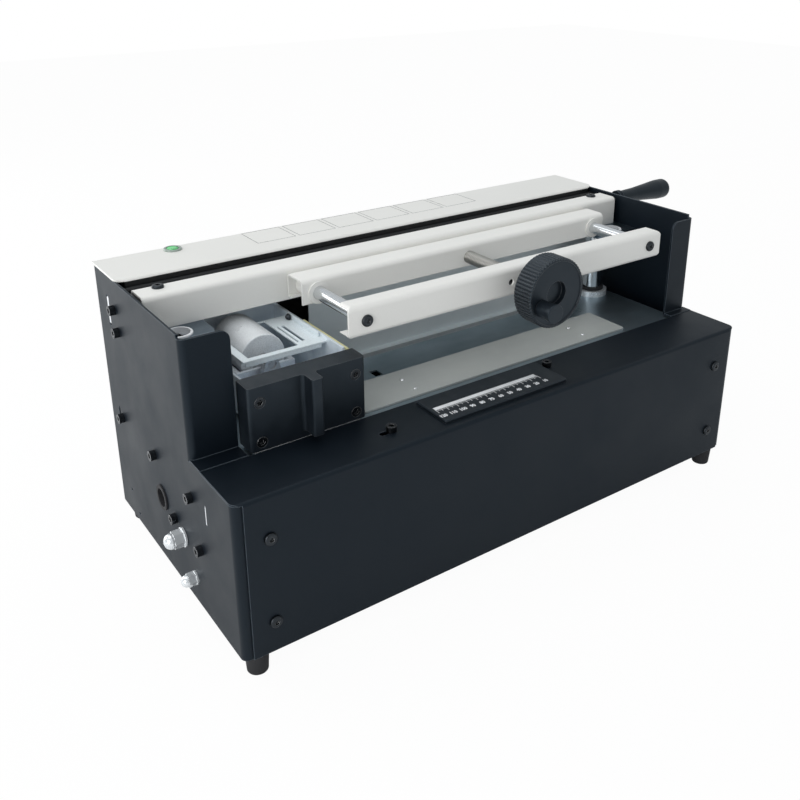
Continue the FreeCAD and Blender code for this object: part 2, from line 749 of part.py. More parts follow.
def side_plate(post_y, post_width):
    """Left side plate with front, rear and base flanges and the upper post."""
    lower_path = [(FRONT_FLANGE, FLANGE_FRONT_Y), (0, FLANGE_FRONT_Y), (0, FLANGE_REAR_Y),
                  (REAR_FLANGE, FLANGE_REAR_Y)]
    upper_path = [(post_width, post_y), (0, post_y), (0, FLANGE_REAR_Y), (REAR_FLANGE, FLANGE_REAR_Y)]
    lower = sheet("z", lower_path[::-1], SIDE_SHEET, CASE_BEND, 0, LEDGE_Z)
    upper = sheet("z", upper_path[::-1], SIDE_SHEET, CASE_BEND, LEDGE_Z, PLATE_TOP)
    flange = (post_y - OVERRUN, post_y + SIDE_SHEET + OVERRUN)
    spare = block((-OVERRUN, post_width + OVERRUN), flange, (POST_TOP, PLATE_TOP + OVERRUN))
    corner_x = (post_width - POST_ROUND, post_width + OVERRUN)
    corner = block(corner_x, flange, (POST_TOP - POST_ROUND, PLATE_TOP + OVERRUN))
    corner = corner.cut(rod("y", corner_x[0], POST_TOP - POST_ROUND, POST_ROUND, *flange))
    fold_room = block((CORNER_INSET, FRONT_FLANGE + OVERRUN), (0, FLANGE_FRONT_Y + SIDE_SHEET + OVERRUN),
                      (LEDGE_Z - COVER_BEND, LEDGE_Z + OVERRUN))
    base_y = (FLANGE_FRONT_Y + CASE_BEND, FLANGE_REAR_Y - CASE_BEND)
    base = block((SIDE_SHEET, BASE_FLANGE), base_y, (0, SIDE_SHEET))
    ledge_y = (LEDGE_DEPTH + HOLE_GAP, post_y + SIDE_SHEET)
    ledge = block((0, post_width), ledge_y, (LEDGE_Z, LEDGE_Z + SIDE_SHEET))
    return fuse_all([lower.cut(fold_room), upper.cut(spare).cut(corner), base, ledge])


def left_side_plate():
    """Left side plate with its slots, screw holes and the cable hole."""
    wide = (-OVERRUN, SIDE_SHEET + OVERRUN)
    tools = [slot("x", LONG_SLOT_Y, LONG_SLOT_Z, LONG_SLOT_WIDTH, *wide),
             slot("x", SHORT_SLOT_Y, SHORT_SLOT_Z, SHORT_SLOT_WIDTH, *wide),
             slot("x", THIN_SLOT_Y, THIN_SLOT_Z, THIN_SLOT_WIDTH, *wide),
             rod("x", GROMMET_Y, GROMMET_Z, GROMMET_BORE + GROMMET_LIP, *wide),
             rod("x", SHAFT_Y, SHAFT_Z, SHAFT_STUD_RADIUS + HOLE_GAP, *wide),
             rod("x", STAY_Y, STAY_Z, STAY_STUD_RADIUS + HOLE_GAP, *wide)]
    for y, z in SIDE_SCREW_YZ:
        tools.append(rod("x", y, z, SCREW_SHANK_RADIUS + RUN_GAP, *wide))
    for y, z in PIN_HOLE_YZ:
        tools.append(rod("x", y, z, PIN_HOLE_RADIUS, *wide))
    tools += front_flange_holes()
    return cut_all(side_plate(LEFT_POST_Y, LEFT_POST_WIDTH), tools)


def right_side_plate():
    """Right side plate with the bearing hole of the lever shaft."""
    wide = (-OVERRUN, SIDE_SHEET + OVERRUN)
    tools = [rod("x", SHAFT_Y, SHAFT_Z, SHAFT_BUSH_RADIUS + RUN_GAP, *wide),
             rod("x", STAY_Y, STAY_Z, STAY_STUD_RADIUS + HOLE_GAP, *wide)]
    for y, z in SIDE_SCREW_YZ:
        tools.append(rod("x", y, z, SCREW_SHANK_RADIUS + RUN_GAP, *wide))
    tools += front_flange_holes()
    return mirrored(cut_all(side_plate(RIGHT_POST_Y, RIGHT_POST_WIDTH), tools))


def front_flange_holes():
    """Holes for the front cover screws on the left."""
    deep = (-OVERRUN, FLANGE_FRONT_Y + SIDE_SHEET + OVERRUN)
    return [rod("y", FRONT_SCREW_X, z, SCREW_SHANK_RADIUS + RUN_GAP, *deep) for z in FRONT_SCREW_Z]


def front_cover():
    """Front face and ledge in one bent sheet, the face set in from the case corners."""
    path = [(LEDGE_DEPTH, BOX_HEIGHT), (0, BOX_HEIGHT), (0, 0)]
    cover = sheet("x", path, COVER_SHEET, COVER_BEND, 0, CASE_WIDTH)
    ledge = [(0, 0, CORNER_ROUND), (CASE_WIDTH, 0, CORNER_ROUND),
             (CASE_WIDTH, LEDGE_DEPTH, 0), (0, LEDGE_DEPTH, 0)]
    top = prism("z", ledge, LEDGE_Z, BOX_HEIGHT + OVERRUN)
    face = block((CORNER_INSET, CASE_WIDTH - CORNER_INSET), (0, LEDGE_DEPTH), (0, BOX_HEIGHT))
    cover = cover.common(top.fuse(face))
    deep = (-OVERRUN, COVER_SHEET + OVERRUN)
    tools = []
    for z in FRONT_SCREW_Z:
        hole = rod("y", FRONT_SCREW_X, z, SCREW_SHANK_RADIUS + RUN_GAP, *deep)
        tools += [hole, mirrored(hole)]
    for x, y in LEDGE_SCREW_XY:
        keyhole = (x - KEYHOLE_LENGTH, x + KEYHOLE_WIDTH / 2)
        through = beyond((LEDGE_Z, BOX_HEIGHT))
        tools.append(plate("z", keyhole, around(y, KEYHOLE_WIDTH), *through, KEYHOLE_WIDTH / 2))
    return cut_all(cover, tools)


def base_plate():
    """Flat floor on the base flanges with a row of air slots."""
    x = (SIDE_SHEET + HOLE_GAP, RIGHT_INNER_X - HOLE_GAP)
    y = (FLANGE_FRONT_Y + SIDE_SHEET + HOLE_GAP, FLANGE_REAR_Y - SIDE_SHEET - HOLE_GAP)
    floor = plate("z", x, y, SIDE_SHEET, FLOOR_TOP, CORNER_ROUND)
    vents = []
    for i in range(VENT_COUNT):
        x = CASE_WIDTH / 2 + (i - (VENT_COUNT - 1) / 2) * FLOOR_VENT_PITCH
        vents.append(slot("z", x, around(CASE_DEPTH / 2, VENT_LENGTH), VENT_WIDTH, *beyond((0, FLOOR_TOP))))
    return cut_all(floor, vents)


def rear_panel():
    """Rear sheet with two rows of air slots and the inlet's window."""
    x = (CORNER_INSET, CASE_WIDTH - CORNER_INSET)
    y = (FLANGE_REAR_Y, FLANGE_REAR_Y + COVER_SHEET)
    panel = plate("y", x, (0, PLATE_TOP), *y, SIDE_SHEET)
    tools = [block(around(INLET_X, INLET_WIDTH), beyond(y), around(INLET_Z, INLET_HEIGHT))]
    for shift in VENT_ROWS:
        for i in range(VENT_COUNT):
            u = VENT_X + shift + (i - (VENT_COUNT - 1) / 2) * VENT_PITCH
            tools.append(slot("y", u, around(VENT_Z, VENT_LENGTH), VENT_WIDTH, *beyond(y)))
    return cut_all(panel, tools)


def top_cover():
    """White cover sheet with a front lip and a rear skirt over the rear panel."""
    path = [(CASE_DEPTH, CASE_HEIGHT - COVER_SKIRT), (CASE_DEPTH, CASE_HEIGHT), (COVER_FRONT_Y, CASE_HEIGHT),
            (COVER_FRONT_Y, CASE_HEIGHT - COVER_LIP)]
    cover = sheet("x", path, TOP_SHEET, TOP_BEND, 0, CASE_WIDTH)
    skirt_y = (CASE_DEPTH - COVER_SHEET, CASE_DEPTH)
    inner = block((-OVERRUN, CASE_WIDTH + OVERRUN), (skirt_y[0] - TOP_SHEET, skirt_y[0]), (0, PLATE_TOP))
    lip_ends = [block((-OVERRUN, CORNER_INSET), (0, CASE_DEPTH + OVERRUN), (0, PLATE_TOP))]
    corners = [(0, COVER_FRONT_Y, CORNER_ROUND), (CASE_WIDTH, COVER_FRONT_Y, CORNER_ROUND),
               (CASE_WIDTH, CASE_DEPTH, TOP_SHEET), (0, CASE_DEPTH, TOP_SHEET)]
    cover = cover.common(prism("z", corners, 0, CASE_HEIGHT + OVERRUN))
    switch_hole = rod("z", SWITCH_X, SWITCH_Y, SWITCH_BODY_RADIUS + RUN_GAP, 0, CASE_HEIGHT + OVERRUN)
    return cut_all(cover, [inner, lip_ends[0], mirrored(lip_ends[0]), switch_hole])


def rear_wall():
    """Inner wall behind the clamp, open on the left where the carriage parks."""
    inner_x = (SIDE_SHEET, RIGHT_INNER_X)
    top = CASE_HEIGHT - COVER_LIP
    path = [(WALL_Y, WALL_LOW_Z), (WALL_Y, top), (WALL_Y + WALL_FLANGE, top)]
    wall = sheet("x", path[::-1], WALL_SHEET, COVER_BEND, *inner_x)
    gate_x = (SIDE_SHEET - OVERRUN, WALL_LEFT_X)
    gate = block(gate_x, (WALL_Y - OVERRUN, WALL_Y + WALL_FLANGE + OVERRUN), (WALL_SILL_Z, top - COVER_BEND))
    return wall.cut(gate)


def rubber_feet():
    """Four tapered feet with a well for their screws."""
    corners = [(0, 0, 0), (FOOT_TOP_RADIUS, 0, 0), (FOOT_LOW_RADIUS, -FOOT_HEIGHT, FOOT_ROUND),
               (FOOT_BORE, -FOOT_HEIGHT, 0), (FOOT_BORE, FOOT_BORE_DEPTH - FOOT_HEIGHT, 0),
               (0, FOOT_BORE_DEPTH - FOOT_HEIGHT, 0)]
    feet = []
    for y in (FOOT_FRONT_Y, CASE_DEPTH - FOOT_REAR_INSET):
        foot = turned("z", FOOT_X, y, corners)
        feet += [foot, mirrored(foot)]
    return Part.makeCompound(feet)


def socket_screws():
    """Socket screws on both side plates and in the keyholes of the ledge."""
    left = [socket_screw("x", y, z, 0, -1) for y, z in SIDE_SCREW_YZ]
    ledge = [socket_screw("z", x, y, BOX_HEIGHT, 1) for x, y in LEDGE_SCREW_XY]
    return Part.makeCompound(left + [mirrored(screw) for screw in left] + ledge)


def button_screws():
    """Button screws of the front cover, the rail's top and the beam."""
    left = [button_screw("y", FRONT_SCREW_X, z, 0, -1) for z in FRONT_SCREW_Z]
    left.append(button_screw("z", RAIL_SCREW_X, RAIL_SCREW_Y, RAIL_Z[1], 1))
    screws = left + [mirrored(screw) for screw in left]
    for x in GUIDE_ROD_X:
        head = button_screw("y", x, CLAMP_Z, BEAM_Y[0], -1)
        deep = (BEAM_Y[0] + CHANNEL_SHEET - SLIVER, BEAM_Y[0] + SHANK_REACH + OVERRUN)
        screws.append(head.cut(rod("y", x, CLAMP_Z, BUTTON_HEAD_RADIUS, *deep)))
    return Part.makeCompound(screws)


def cable_grommet():
    """Rubber ring in the left side plate."""
    corners = [(GROMMET_BORE, -GROMMET_LIP, 0), (GROMMET_RADIUS, -GROMMET_LIP, 0), (GROMMET_RADIUS, 0, 0),
               (GROMMET_BORE + GROMMET_LIP, 0, 0), (GROMMET_BORE + GROMMET_LIP, SIDE_SHEET, 0),
               (GROMMET_RADIUS, SIDE_SHEET, 0), (GROMMET_RADIUS, SIDE_SHEET + GROMMET_LIP, 0),
               (GROMMET_BORE, SIDE_SHEET + GROMMET_LIP, 0)]
    return turned("x", GROMMET_Y, GROMMET_Z, corners)


def slot_plate():
    """Zinc plate behind the long slot of the left side."""
    y = (LONG_SLOT_Y - SLOT_PLATE_WIDTH / 2, LONG_SLOT_Y + SLOT_PLATE_WIDTH / 2)
    z = (LONG_SLOT_Z[0] - SLOT_PLATE_RIM, LONG_SLOT_Z[1] + SLOT_PLATE_RIM)
    return plate("x", y, z, SIDE_SHEET, SIDE_SHEET + SLOT_PLATE_SHEET, SIDE_SHEET)


def ruler_plate():
    """Raised plate on the ledge with a shallow bed for the ruler strip."""
    body = plate("z", RULER_X, RULER_Y, BOX_HEIGHT, BOX_HEIGHT + RULER_HEIGHT, SIDE_SHEET)
    top = [edge for edge in body.Edges if edge.BoundBox.ZMin > BOX_HEIGHT + RULER_HEIGHT - SLIVER]
    body = body.makeChamfer(RULER_EDGE, top)
    bed_z = (BOX_HEIGHT + RULER_HEIGHT - RULER_SLOT_DEPTH, BOX_HEIGHT + RULER_HEIGHT + OVERRUN)
    return body.cut(block(RULER_SLOT_X, RULER_SLOT_Y, bed_z))


def power_inlet():
    """Inlet socket in the rear panel: rim, body with its well and three flat pins."""
    y = FLANGE_REAR_Y + COVER_SHEET
    width = INLET_WIDTH - HOLE_GAP
    height = INLET_HEIGHT - HOLE_GAP
    body = block(around(INLET_X, width), (y - INLET_DEPTH, y), around(INLET_Z, height))
    rim = plate("y", around(INLET_X, width + INLET_RIM), around(INLET_Z, height + INLET_RIM),
                y, y + INLET_RIM_HEIGHT, INLET_RIM / 2)
    x = around(INLET_X, width - INLET_WALL)
    z = around(INLET_Z, height - INLET_WALL)
    well = [(x[0], z[0], 0), (x[1], z[0], 0), (x[1], z[1] - INLET_CHAMFER, 0),
            (x[1] - INLET_CHAMFER, z[1], 0), (x[0] + INLET_CHAMFER, z[1], 0), (x[0], z[1] - INLET_CHAMFER, 0)]
    body = body.fuse(rim).cut(prism("y", well, y - INLET_WELL_DEPTH, y + OVERRUN))
    pins = []
    for dx, dz in ((-INLET_PIN_SPREAD, 0), (INLET_PIN_SPREAD, 0), (0, INLET_PIN_DROP)):
        pin_y = (y - INLET_WELL_DEPTH - INLET_WALL, y - INLET_WELL_DEPTH + INLET_PIN[2])
        pins.append(block(around(INLET_X + dx, INLET_PIN[1]), pin_y, around(INLET_Z + dz, INLET_PIN[0])))
    return fuse_all([body] + pins)


def switch_body():
    """Round rocker switch housing with its bezel and two tabs below."""
    top = CASE_HEIGHT + SWITCH_RIM_HEIGHT
    low = CASE_HEIGHT - SWITCH_DEPTH
    well = SWITCH_BODY_RADIUS - SWITCH_WALL
    corners = [(0, low, 0), (SWITCH_BODY_RADIUS, low, 0), (SWITCH_BODY_RADIUS, CASE_HEIGHT, 0),
               (SWITCH_RIM_RADIUS, CASE_HEIGHT, 0), (SWITCH_RIM_RADIUS, top, SWITCH_WALL),
               (well, top, 0), (well, top - SWITCH_WELL, 0), (0, top - SWITCH_WELL, 0)]
    body = turned("z", SWITCH_X, SWITCH_Y, corners)
    reach = ROCKER_RADIUS + ROCKER_PIN_REACH + RUN_GAP
    pivot = rod("x", SWITCH_Y, rocker_pivot_z(), ROCKER_PIN_RADIUS + RUN_GAP, SWITCH_X - reach, SWITCH_X + reach)
    tabs = []
    for way in (-1, 1):
        y = around(SWITCH_Y + way * SWITCH_TAB_SPREAD, SWITCH_TAB[1])
        tabs.append(block(around(SWITCH_X, SWITCH_TAB[0]), y, (low - SWITCH_TAB[2], low + SWITCH_WALL)))
    return fuse_all([body.cut(pivot)] + tabs)


def rocker_pivot_z():
    """Height of the rocker's pin."""
    return CASE_HEIGHT + SWITCH_RIM_HEIGHT - ROCKER_PIN_DROP


def rocker_button():
    """Round rocker with a dished top, tilted to the side that is pressed in."""
    pivot = rocker_pivot_z()
    reach = ROCKER_RADIUS + ROCKER_PIN_REACH
    disc = rod("z", SWITCH_X, SWITCH_Y, ROCKER_RADIUS, *around(pivot, ROCKER_HEIGHT))
    dish_z = pivot + ROCKER_HEIGHT / 2 + ROCKER_DISH - SWITCH_WALL
    dish = rod("x", SWITCH_Y, dish_z, ROCKER_DISH, SWITCH_X - SWITCH_RIM_RADIUS, SWITCH_X + SWITCH_RIM_RADIUS)
    pin = rod("x", SWITCH_Y, pivot, ROCKER_PIN_RADIUS, SWITCH_X - reach, SWITCH_X + reach)
    button = fuse_all([disc.cut(dish), pin])
    button.rotate(V(SWITCH_X, SWITCH_Y, pivot), V(1, 0, 0), -ROCKER_TILT)
    return button


# Deck, inner walls and the bar that the carriage rides on

def deck_plate():
    """Fixed deck round the lifting table, with ears behind under the columns and a front lip."""
    outline = [(DECK_X[0], DECK_FRONT_Y, 0), (DECK_X[1], DECK_FRONT_Y, 0), (DECK_X[1], DECK_EAR_Y, SIDE_SHEET),
               (DECK_EAR_X[1], DECK_EAR_Y, SIDE_SHEET), (DECK_EAR_X[1], DECK_REAR_Y, 0),
               (DECK_EAR_X[0], DECK_REAR_Y, 0), (DECK_EAR_X[0], DECK_EAR_Y, SIDE_SHEET),
               (DECK_X[0], DECK_EAR_Y, SIDE_SHEET)]
    deck = prism("z", outline, DECK_LOW_Z, DECK_TOP)
    window_x = (TABLE_X[0] - WINDOW_GAP, TABLE_X[1] + WINDOW_GAP)
    window = block(window_x, (TABLE_FRONT_Y - WINDOW_GAP, DECK_REAR_Y + OVERRUN), CUT_DECK)
    lip = block(DECK_X, (DECK_FRONT_Y, DECK_FRONT_Y + DECK_SHEET), (DECK_TOP - DECK_LIP, DECK_LOW_Z + SLIVER))
    return fuse_all([deck.cut(window), lip])


def inner_walls():
    """Two upright bearing walls between the base plate and the deck."""
    y = (INNER_WALL_FRONT_Y, DECK_EAR_Y)
    z = (FLOOR_TOP, DECK_LOW_Z)
    x = (INNER_WALL_X, INNER_WALL_X + INNER_WALL_SHEET)
    wide = beyond(x)
    wall = block(x, y, z)
    foot = block((x[1], x[1] + BASE_FLANGE), y, (z[0], z[0] + INNER_WALL_SHEET))
    tools = [rod("x", SHAFT_Y, SHAFT_Z, SHAFT_BUSH_RADIUS + RUN_GAP, *wide),
             rod("x", STAY_Y, STAY_Z, STAY_RADIUS + HOLE_GAP, *wide),
             plate("x", INNER_WALL_WINDOW_Y, INNER_WALL_WINDOW_Z, *wide, INNER_WALL_ROUND)]
    return with_twin(cut_all(wall.fuse(foot), tools).removeSplitter())


def rear_guide_bar():
    """Square bar in front of the rear wall; the carriage's rear shoe rides on it."""
    return block((SIDE_SHEET, RIGHT_INNER_X), (WALL_Y - BAR_DEPTH, WALL_Y), BAR_Z)


def shaft_bushes():
    """Flanged bushes of the lever shaft: two in the inner walls, one in the right side plate."""
    def bush(seat):
        bore = SHAFT_RADIUS + RUN_GAP
        end = seat + SHAFT_BUSH_RIM
        start = end - SHAFT_BUSH_LENGTH
        corners = [(bore, start, 0), (SHAFT_BUSH_RADIUS, start, 0), (SHAFT_BUSH_RADIUS, seat, 0),
                   (SHAFT_BUSH_FLANGE, seat, 0), (SHAFT_BUSH_FLANGE, end, 0), (bore, end, 0)]
        return turned("x", SHAFT_Y, SHAFT_Z, corners)
    inner = bush(INNER_WALL_X + INNER_WALL_SHEET)
    return Part.makeCompound([inner, mirrored(inner), bush(CASE_WIDTH)])


def stay_rod():
    """Cross stay between the side plates, with a stud at each end."""
    bar = rod("x", STAY_Y, STAY_Z, STAY_RADIUS, SIDE_SHEET, RIGHT_INNER_X)
    reach = CAP_WASHER_HEIGHT + STAY_NUT_HEX / 2
    return fuse_all([bar, rod("x", STAY_Y, STAY_Z, STAY_STUD_RADIUS, -reach, CASE_WIDTH + reach)])


def frame_nuts():
    """Cap nuts and washers on the stay's ends, hexagon nuts on the guide rods' studs."""
    nut, washer = cap_nut(STAY_Y, STAY_Z, 0, -1, STAY_NUT_FLATS, STAY_NUT_HEX, STAY_NUT_HEIGHT,
                          STAY_WASHER_RADIUS, STAY_STUD_RADIUS)
    nuts = [nut, washer, mirrored(nut), mirrored(washer)]
    start = RAIL_Y[0] + CHANNEL_SHEET
    y = (start, start + ROD_NUT_HEIGHT)
    for x in GUIDE_ROD_X:
        nut = hexagon("y", x, CLAMP_Z, hex_corner(ROD_NUT_FLATS), *y)
        nuts.append(nut.cut(rod("y", x, CLAMP_Z, ROD_STUD_RADIUS + RUN_GAP, *beyond(y))))
    return Part.makeCompound(nuts)


def lift_guide_rods():
    """Four upright rods with round feet on the base plate."""
    rods = []
    z = FLOOR_TOP
    for x in GUIDE_X:
        for y in GUIDE_Y:
            foot = rod("z", x, y, GUIDE_FOOT_RADIUS, z, z + GUIDE_FOOT_HEIGHT)
            rods.append(fuse_all([foot, rod("z", x, y, GUIDE_RADIUS, z, GUIDE_TOP)]))
    return Part.makeCompound(rods)


# Columns, brackets and the fixed rail

def guide_columns():
    """Two chromed columns from the deck to the rail brackets."""
    return with_twin(rod("z", COLUMN_X, COLUMN_Y, COLUMN_RADIUS, DECK_TOP, BRACKET_LOW))


def column_flanges():
    """Round base flanges of the columns."""
    z = (DECK_TOP, DECK_TOP + COLUMN_FLANGE_HEIGHT)
    return with_twin(tube("z", COLUMN_X, COLUMN_Y, COLUMN_FLANGE_RADIUS, COLUMN_RADIUS + RUN_GAP, *z))


def column_wipers():
    """Black rings on the flanges."""
    low = DECK_TOP + COLUMN_FLANGE_HEIGHT
    z = (low, low + WIPER_HEIGHT)
    return with_twin(tube("z", COLUMN_X, COLUMN_Y, WIPER_RADIUS, COLUMN_RADIUS + RUN_GAP, *z))


def rail_brackets():
    """Flat brackets on the columns, each with a welded post under the rail's top."""
    body = plate("z", (SIDE_SHEET, BRACKET_X), BRACKET_Y, BRACKET_LOW, BRACKET_TOP, BRACKET_ROUND)
    seat = block((SIDE_SHEET, SIDE_SHEET + BRACKET_ROUND), BRACKET_Y, (BRACKET_LOW, BRACKET_TOP))
    body = body.fuse(seat).removeSplitter()
    hole = rod("z", RING_X, RING_Y, RING_RADIUS - RING_WALL / 2, *beyond((BRACKET_LOW, BRACKET_TOP)))
    top = RAIL_Z[1] - CHANNEL_SHEET
    post = rod("z", RAIL_SCREW_X, RAIL_SCREW_Y, SPACER_RADIUS, BRACKET_LOW, top)
    thread_z = (top - SHANK_REACH, top + OVERRUN)
    thread = rod("z", RAIL_SCREW_X, RAIL_SCREW_Y, SCREW_SHANK_RADIUS + RUN_GAP, *thread_z)
    return with_twin(cut_all(fuse_all([body, post]), [hole, thread]))


def ring_bushes():
    """White ring bushes in the brackets."""
    hole = RING_RADIUS - RING_WALL / 2 - RUN_GAP
    bore = hole - RING_WALL / 2
    top = BRACKET_TOP + RING_RISE
    corners = [(bore, BRACKET_LOW, 0), (hole, BRACKET_LOW, 0), (hole, BRACKET_TOP, 0),
               (RING_RADIUS, BRACKET_TOP, 0), (RING_RADIUS, top, RING_RISE / 2), (bore, top, 0)]
    return with_twin(turned("z", RING_X, RING_Y, corners))


def channel(x, y, z, sheet_size, bend, open_side):
    """Bent channel along x, open below or to the rear."""
    if open_side == "below":
        path = [(y[1], z[0]), (y[1], z[1]), (y[0], z[1]), (y[0], z[0])]
    else:
        path = [(y[1], z[1]), (y[0], z[1]), (y[0], z[0]), (y[1], z[0])]
    return sheet("x", path, sheet_size, bend, *x)


def clamp_rail():
    """Fixed jaw: a white channel open below, carried on the brackets."""
    rail = channel(RAIL_X, RAIL_Y, RAIL_Z, CHANNEL_SHEET, CHANNEL_BEND, "below")
    front = beyond((RAIL_Y[0], RAIL_Y[0]))
    top = beyond((RAIL_Z[1], RAIL_Z[1]))
    tools = [rod("y", x, CLAMP_Z, ROD_STUD_RADIUS + HOLE_GAP, *front) for x in GUIDE_ROD_X]
    hole = rod("z", RAIL_SCREW_X, RAIL_SCREW_Y, SCREW_SHANK_RADIUS + RUN_GAP, *top)
    tools.append(rod("y", SCREW_X, CLAMP_Z, LEAD_HEAD_RADIUS + RING_RISE, *front))
    return cut_all(rail, tools + [hole, mirrored(hole)])


def guide_rods():
    """Two chromed rods from the beam to the rail, with a stud through the rail's front."""
    rods = []
    for x in GUIDE_ROD_X:
        bar = rod("y", x, CLAMP_Z, GUIDE_ROD_RADIUS, BEAM_Y[0] + CHANNEL_SHEET, RAIL_Y[0])
        stud_end = RAIL_Y[0] + CHANNEL_SHEET + ROD_NUT_HEIGHT + SIDE_SHEET
        rods.append(fuse_all([bar, rod("y", x, CLAMP_Z, ROD_STUD_RADIUS, RAIL_Y[0] - OVERRUN, stud_end)]))
    return Part.makeCompound(rods)


def clamp_beam():
    """Front beam: a white channel open to the rear with rounded ends."""
    beam = channel(BEAM_X, BEAM_Y, BEAM_Z, CHANNEL_SHEET, CHANNEL_BEND, "rear")
    ends = plate("y", BEAM_X, BEAM_Z, *beyond(BEAM_Y), CHANNEL_BEND)
    deep = (BEAM_Y[0] - OVERRUN, BEAM_Y[0] + CHANNEL_BEND + OVERRUN)
    tools = [rod("y", SCREW_X, CLAMP_Z, LEAD_RADIUS + HOLE_GAP, *deep),
             rod("y", BEAM_HOLE_X, CLAMP_Z, BEAM_HOLE_RADIUS, *deep)]
    for x in GUIDE_ROD_X:
        tools.append(rod("y", x, CLAMP_Z, SCREW_SHANK_RADIUS + RUN_GAP, *deep))
    return cut_all(beam.common(ends), tools)


def screw_nut():
    """Round nut of the lead screw on the inside of the beam."""
    y = (BEAM_Y[0] + CHANNEL_SHEET, BEAM_Y[1])
    return tube("y", SCREW_X, CLAMP_Z, NUT_RADIUS, LEAD_RADIUS + RUN_GAP, *y)


# Moving jaw

def jaw_channel():
    """Moving jaw: a white channel open below with a small foot on its rear leg."""
    jaw = channel(JAW_X, JAW_Y, JAW_Z, CHANNEL_SHEET, CHANNEL_BEND, "below")
    foot_y = (JAW_Y[1] - JAW_FOOT, JAW_Y[1] - CHANNEL_SHEET + SLIVER)
    foot = block(JAW_X, foot_y, (JAW_Z[0], JAW_Z[0] + CHANNEL_SHEET))
    tools = [rod("y", x, CLAMP_Z, JAW_BUSH_RADIUS + RUN_GAP, *beyond(JAW_Y)) for x in GUIDE_ROD_X]
    tools.append(rod("y", SCREW_X, CLAMP_Z, LEAD_NECK_RADIUS + HOLE_GAP, *beyond((JAW_Y[0], JAW_Y[0]))))
    return cut_all(fuse_all([jaw, foot]), tools)


def jaw_bushes():
    """Flanged bushes that run on the guide rods."""
    bore = GUIDE_ROD_RADIUS + RUN_GAP
    front = JAW_Y[0] - JAW_BUSH_RIM
    corners = [(bore, front, 0), (JAW_BUSH_FLANGE, front, 0), (JAW_BUSH_FLANGE, JAW_Y[0], 0),
               (JAW_BUSH_RADIUS, JAW_Y[0], 0), (JAW_BUSH_RADIUS, JAW_Y[1], 0), (bore, JAW_Y[1], 0)]
    return Part.makeCompound([turned("y", x, CLAMP_Z, corners) for x in GUIDE_ROD_X])


def thrust_plate():
    """Plate inside the jaw that holds the lead screw's neck."""
    front = JAW_Y[0] + CHANNEL_SHEET
    y = (front, front + THRUST_SHEET)
    z = (JAW_Z[0], JAW_Z[1] - CHANNEL_BEND)
    body = plate("y", around(SCREW_X, THRUST_WIDTH), z, *y, SIDE_SHEET)
    return body.cut(rod("y", SCREW_X, CLAMP_Z, LEAD_NECK_RADIUS + RUN_GAP, *beyond(y)))


# Handwheel with the lead screw

def handwheel():
    """Toothed wheel with a sunk face inside a thin lip, a round well and the seat of the crank pin."""
    corners = []
    for i in range(WHEEL_TEETH):
        for middle, radius in ((TOOTH_TOP_SHARE, WHEEL_RADIUS), (TOOTH_ROOT_SHARE, WHEEL_RADIUS - WHEEL_TOOTH_DEPTH)):
            for side in (-TOOTH_FLANK_SHARE, TOOTH_FLANK_SHARE):
                angle = math.tau * (i + middle + side) / WHEEL_TEETH
                corners.append((SCREW_X + radius * math.cos(angle), CLAMP_Z + radius * math.sin(angle), 0))
    edge = WHEEL_RADIUS - WHEEL_EDGE
    rim_y = (WHEEL_FRONT_Y + WHEEL_EDGE, WHEEL_REAR_Y - WHEEL_EDGE)
    hull = turned("y", SCREW_X, CLAMP_Z, [(0, WHEEL_FRONT_Y, 0), (edge, WHEEL_FRONT_Y, 0), (WHEEL_RADIUS, rim_y[0], 0),
                                          (WHEEL_RADIUS, rim_y[1], 0), (edge, WHEEL_REAR_Y, 0), (0, WHEEL_REAR_Y, 0)])
    body = prism("y", corners, WHEEL_FRONT_Y, WHEEL_REAR_Y).common(hull)
    face = WHEEL_FRONT_Y + WHEEL_DISH
    dish = rod("y", SCREW_X, CLAMP_Z, WHEEL_RADIUS - WHEEL_RIM, WHEEL_FRONT_Y - OVERRUN, face)
    collar = rod("y", SCREW_X, CLAMP_Z, COLLAR_RADIUS, WHEEL_REAR_Y - OVERRUN, BEAM_Y[0] - COLLAR_GAP)
    root = WHEEL_REAR_Y - LEAD_LENGTH_IN_WHEEL
    well = rod("y", SCREW_X, CLAMP_Z, WHEEL_WELL_RADIUS, face - OVERRUN, face + WHEEL_WELL_DEPTH)
    bore = rod("y", SCREW_X, CLAMP_Z, LEAD_RADIUS + RUN_GAP, root, BEAM_Y[0])
    pin_bore = rod("y", CRANK_X, CRANK_Z, CRANK_PIN_RADIUS + RUN_GAP, face - OVERRUN, root)
    return cut_all(fuse_all([body.cut(dish), collar]), [well, bore, pin_bore])


def lead_screw():
    """Lead screw with a neck in the jaw's front and a retaining head behind the thrust plate."""
    start = WHEEL_REAR_Y - LEAD_LENGTH_IN_WHEEL
    shoulder = JAW_Y[0] - SLIDE_GAP
    head = JAW_Y[0] + CHANNEL_SHEET + THRUST_SHEET + SLIDE_GAP
    corners = [(0, start, 0), (LEAD_RADIUS, start, 0), (LEAD_RADIUS, shoulder, 0), (LEAD_NECK_RADIUS, shoulder, 0),
               (LEAD_NECK_RADIUS, head, 0), (LEAD_HEAD_RADIUS, head, 0),
               (LEAD_HEAD_RADIUS, head + LEAD_HEAD_HEIGHT, 0), (0, head + LEAD_HEAD_HEIGHT, 0)]
    return turned("y", SCREW_X, CLAMP_Z, corners)


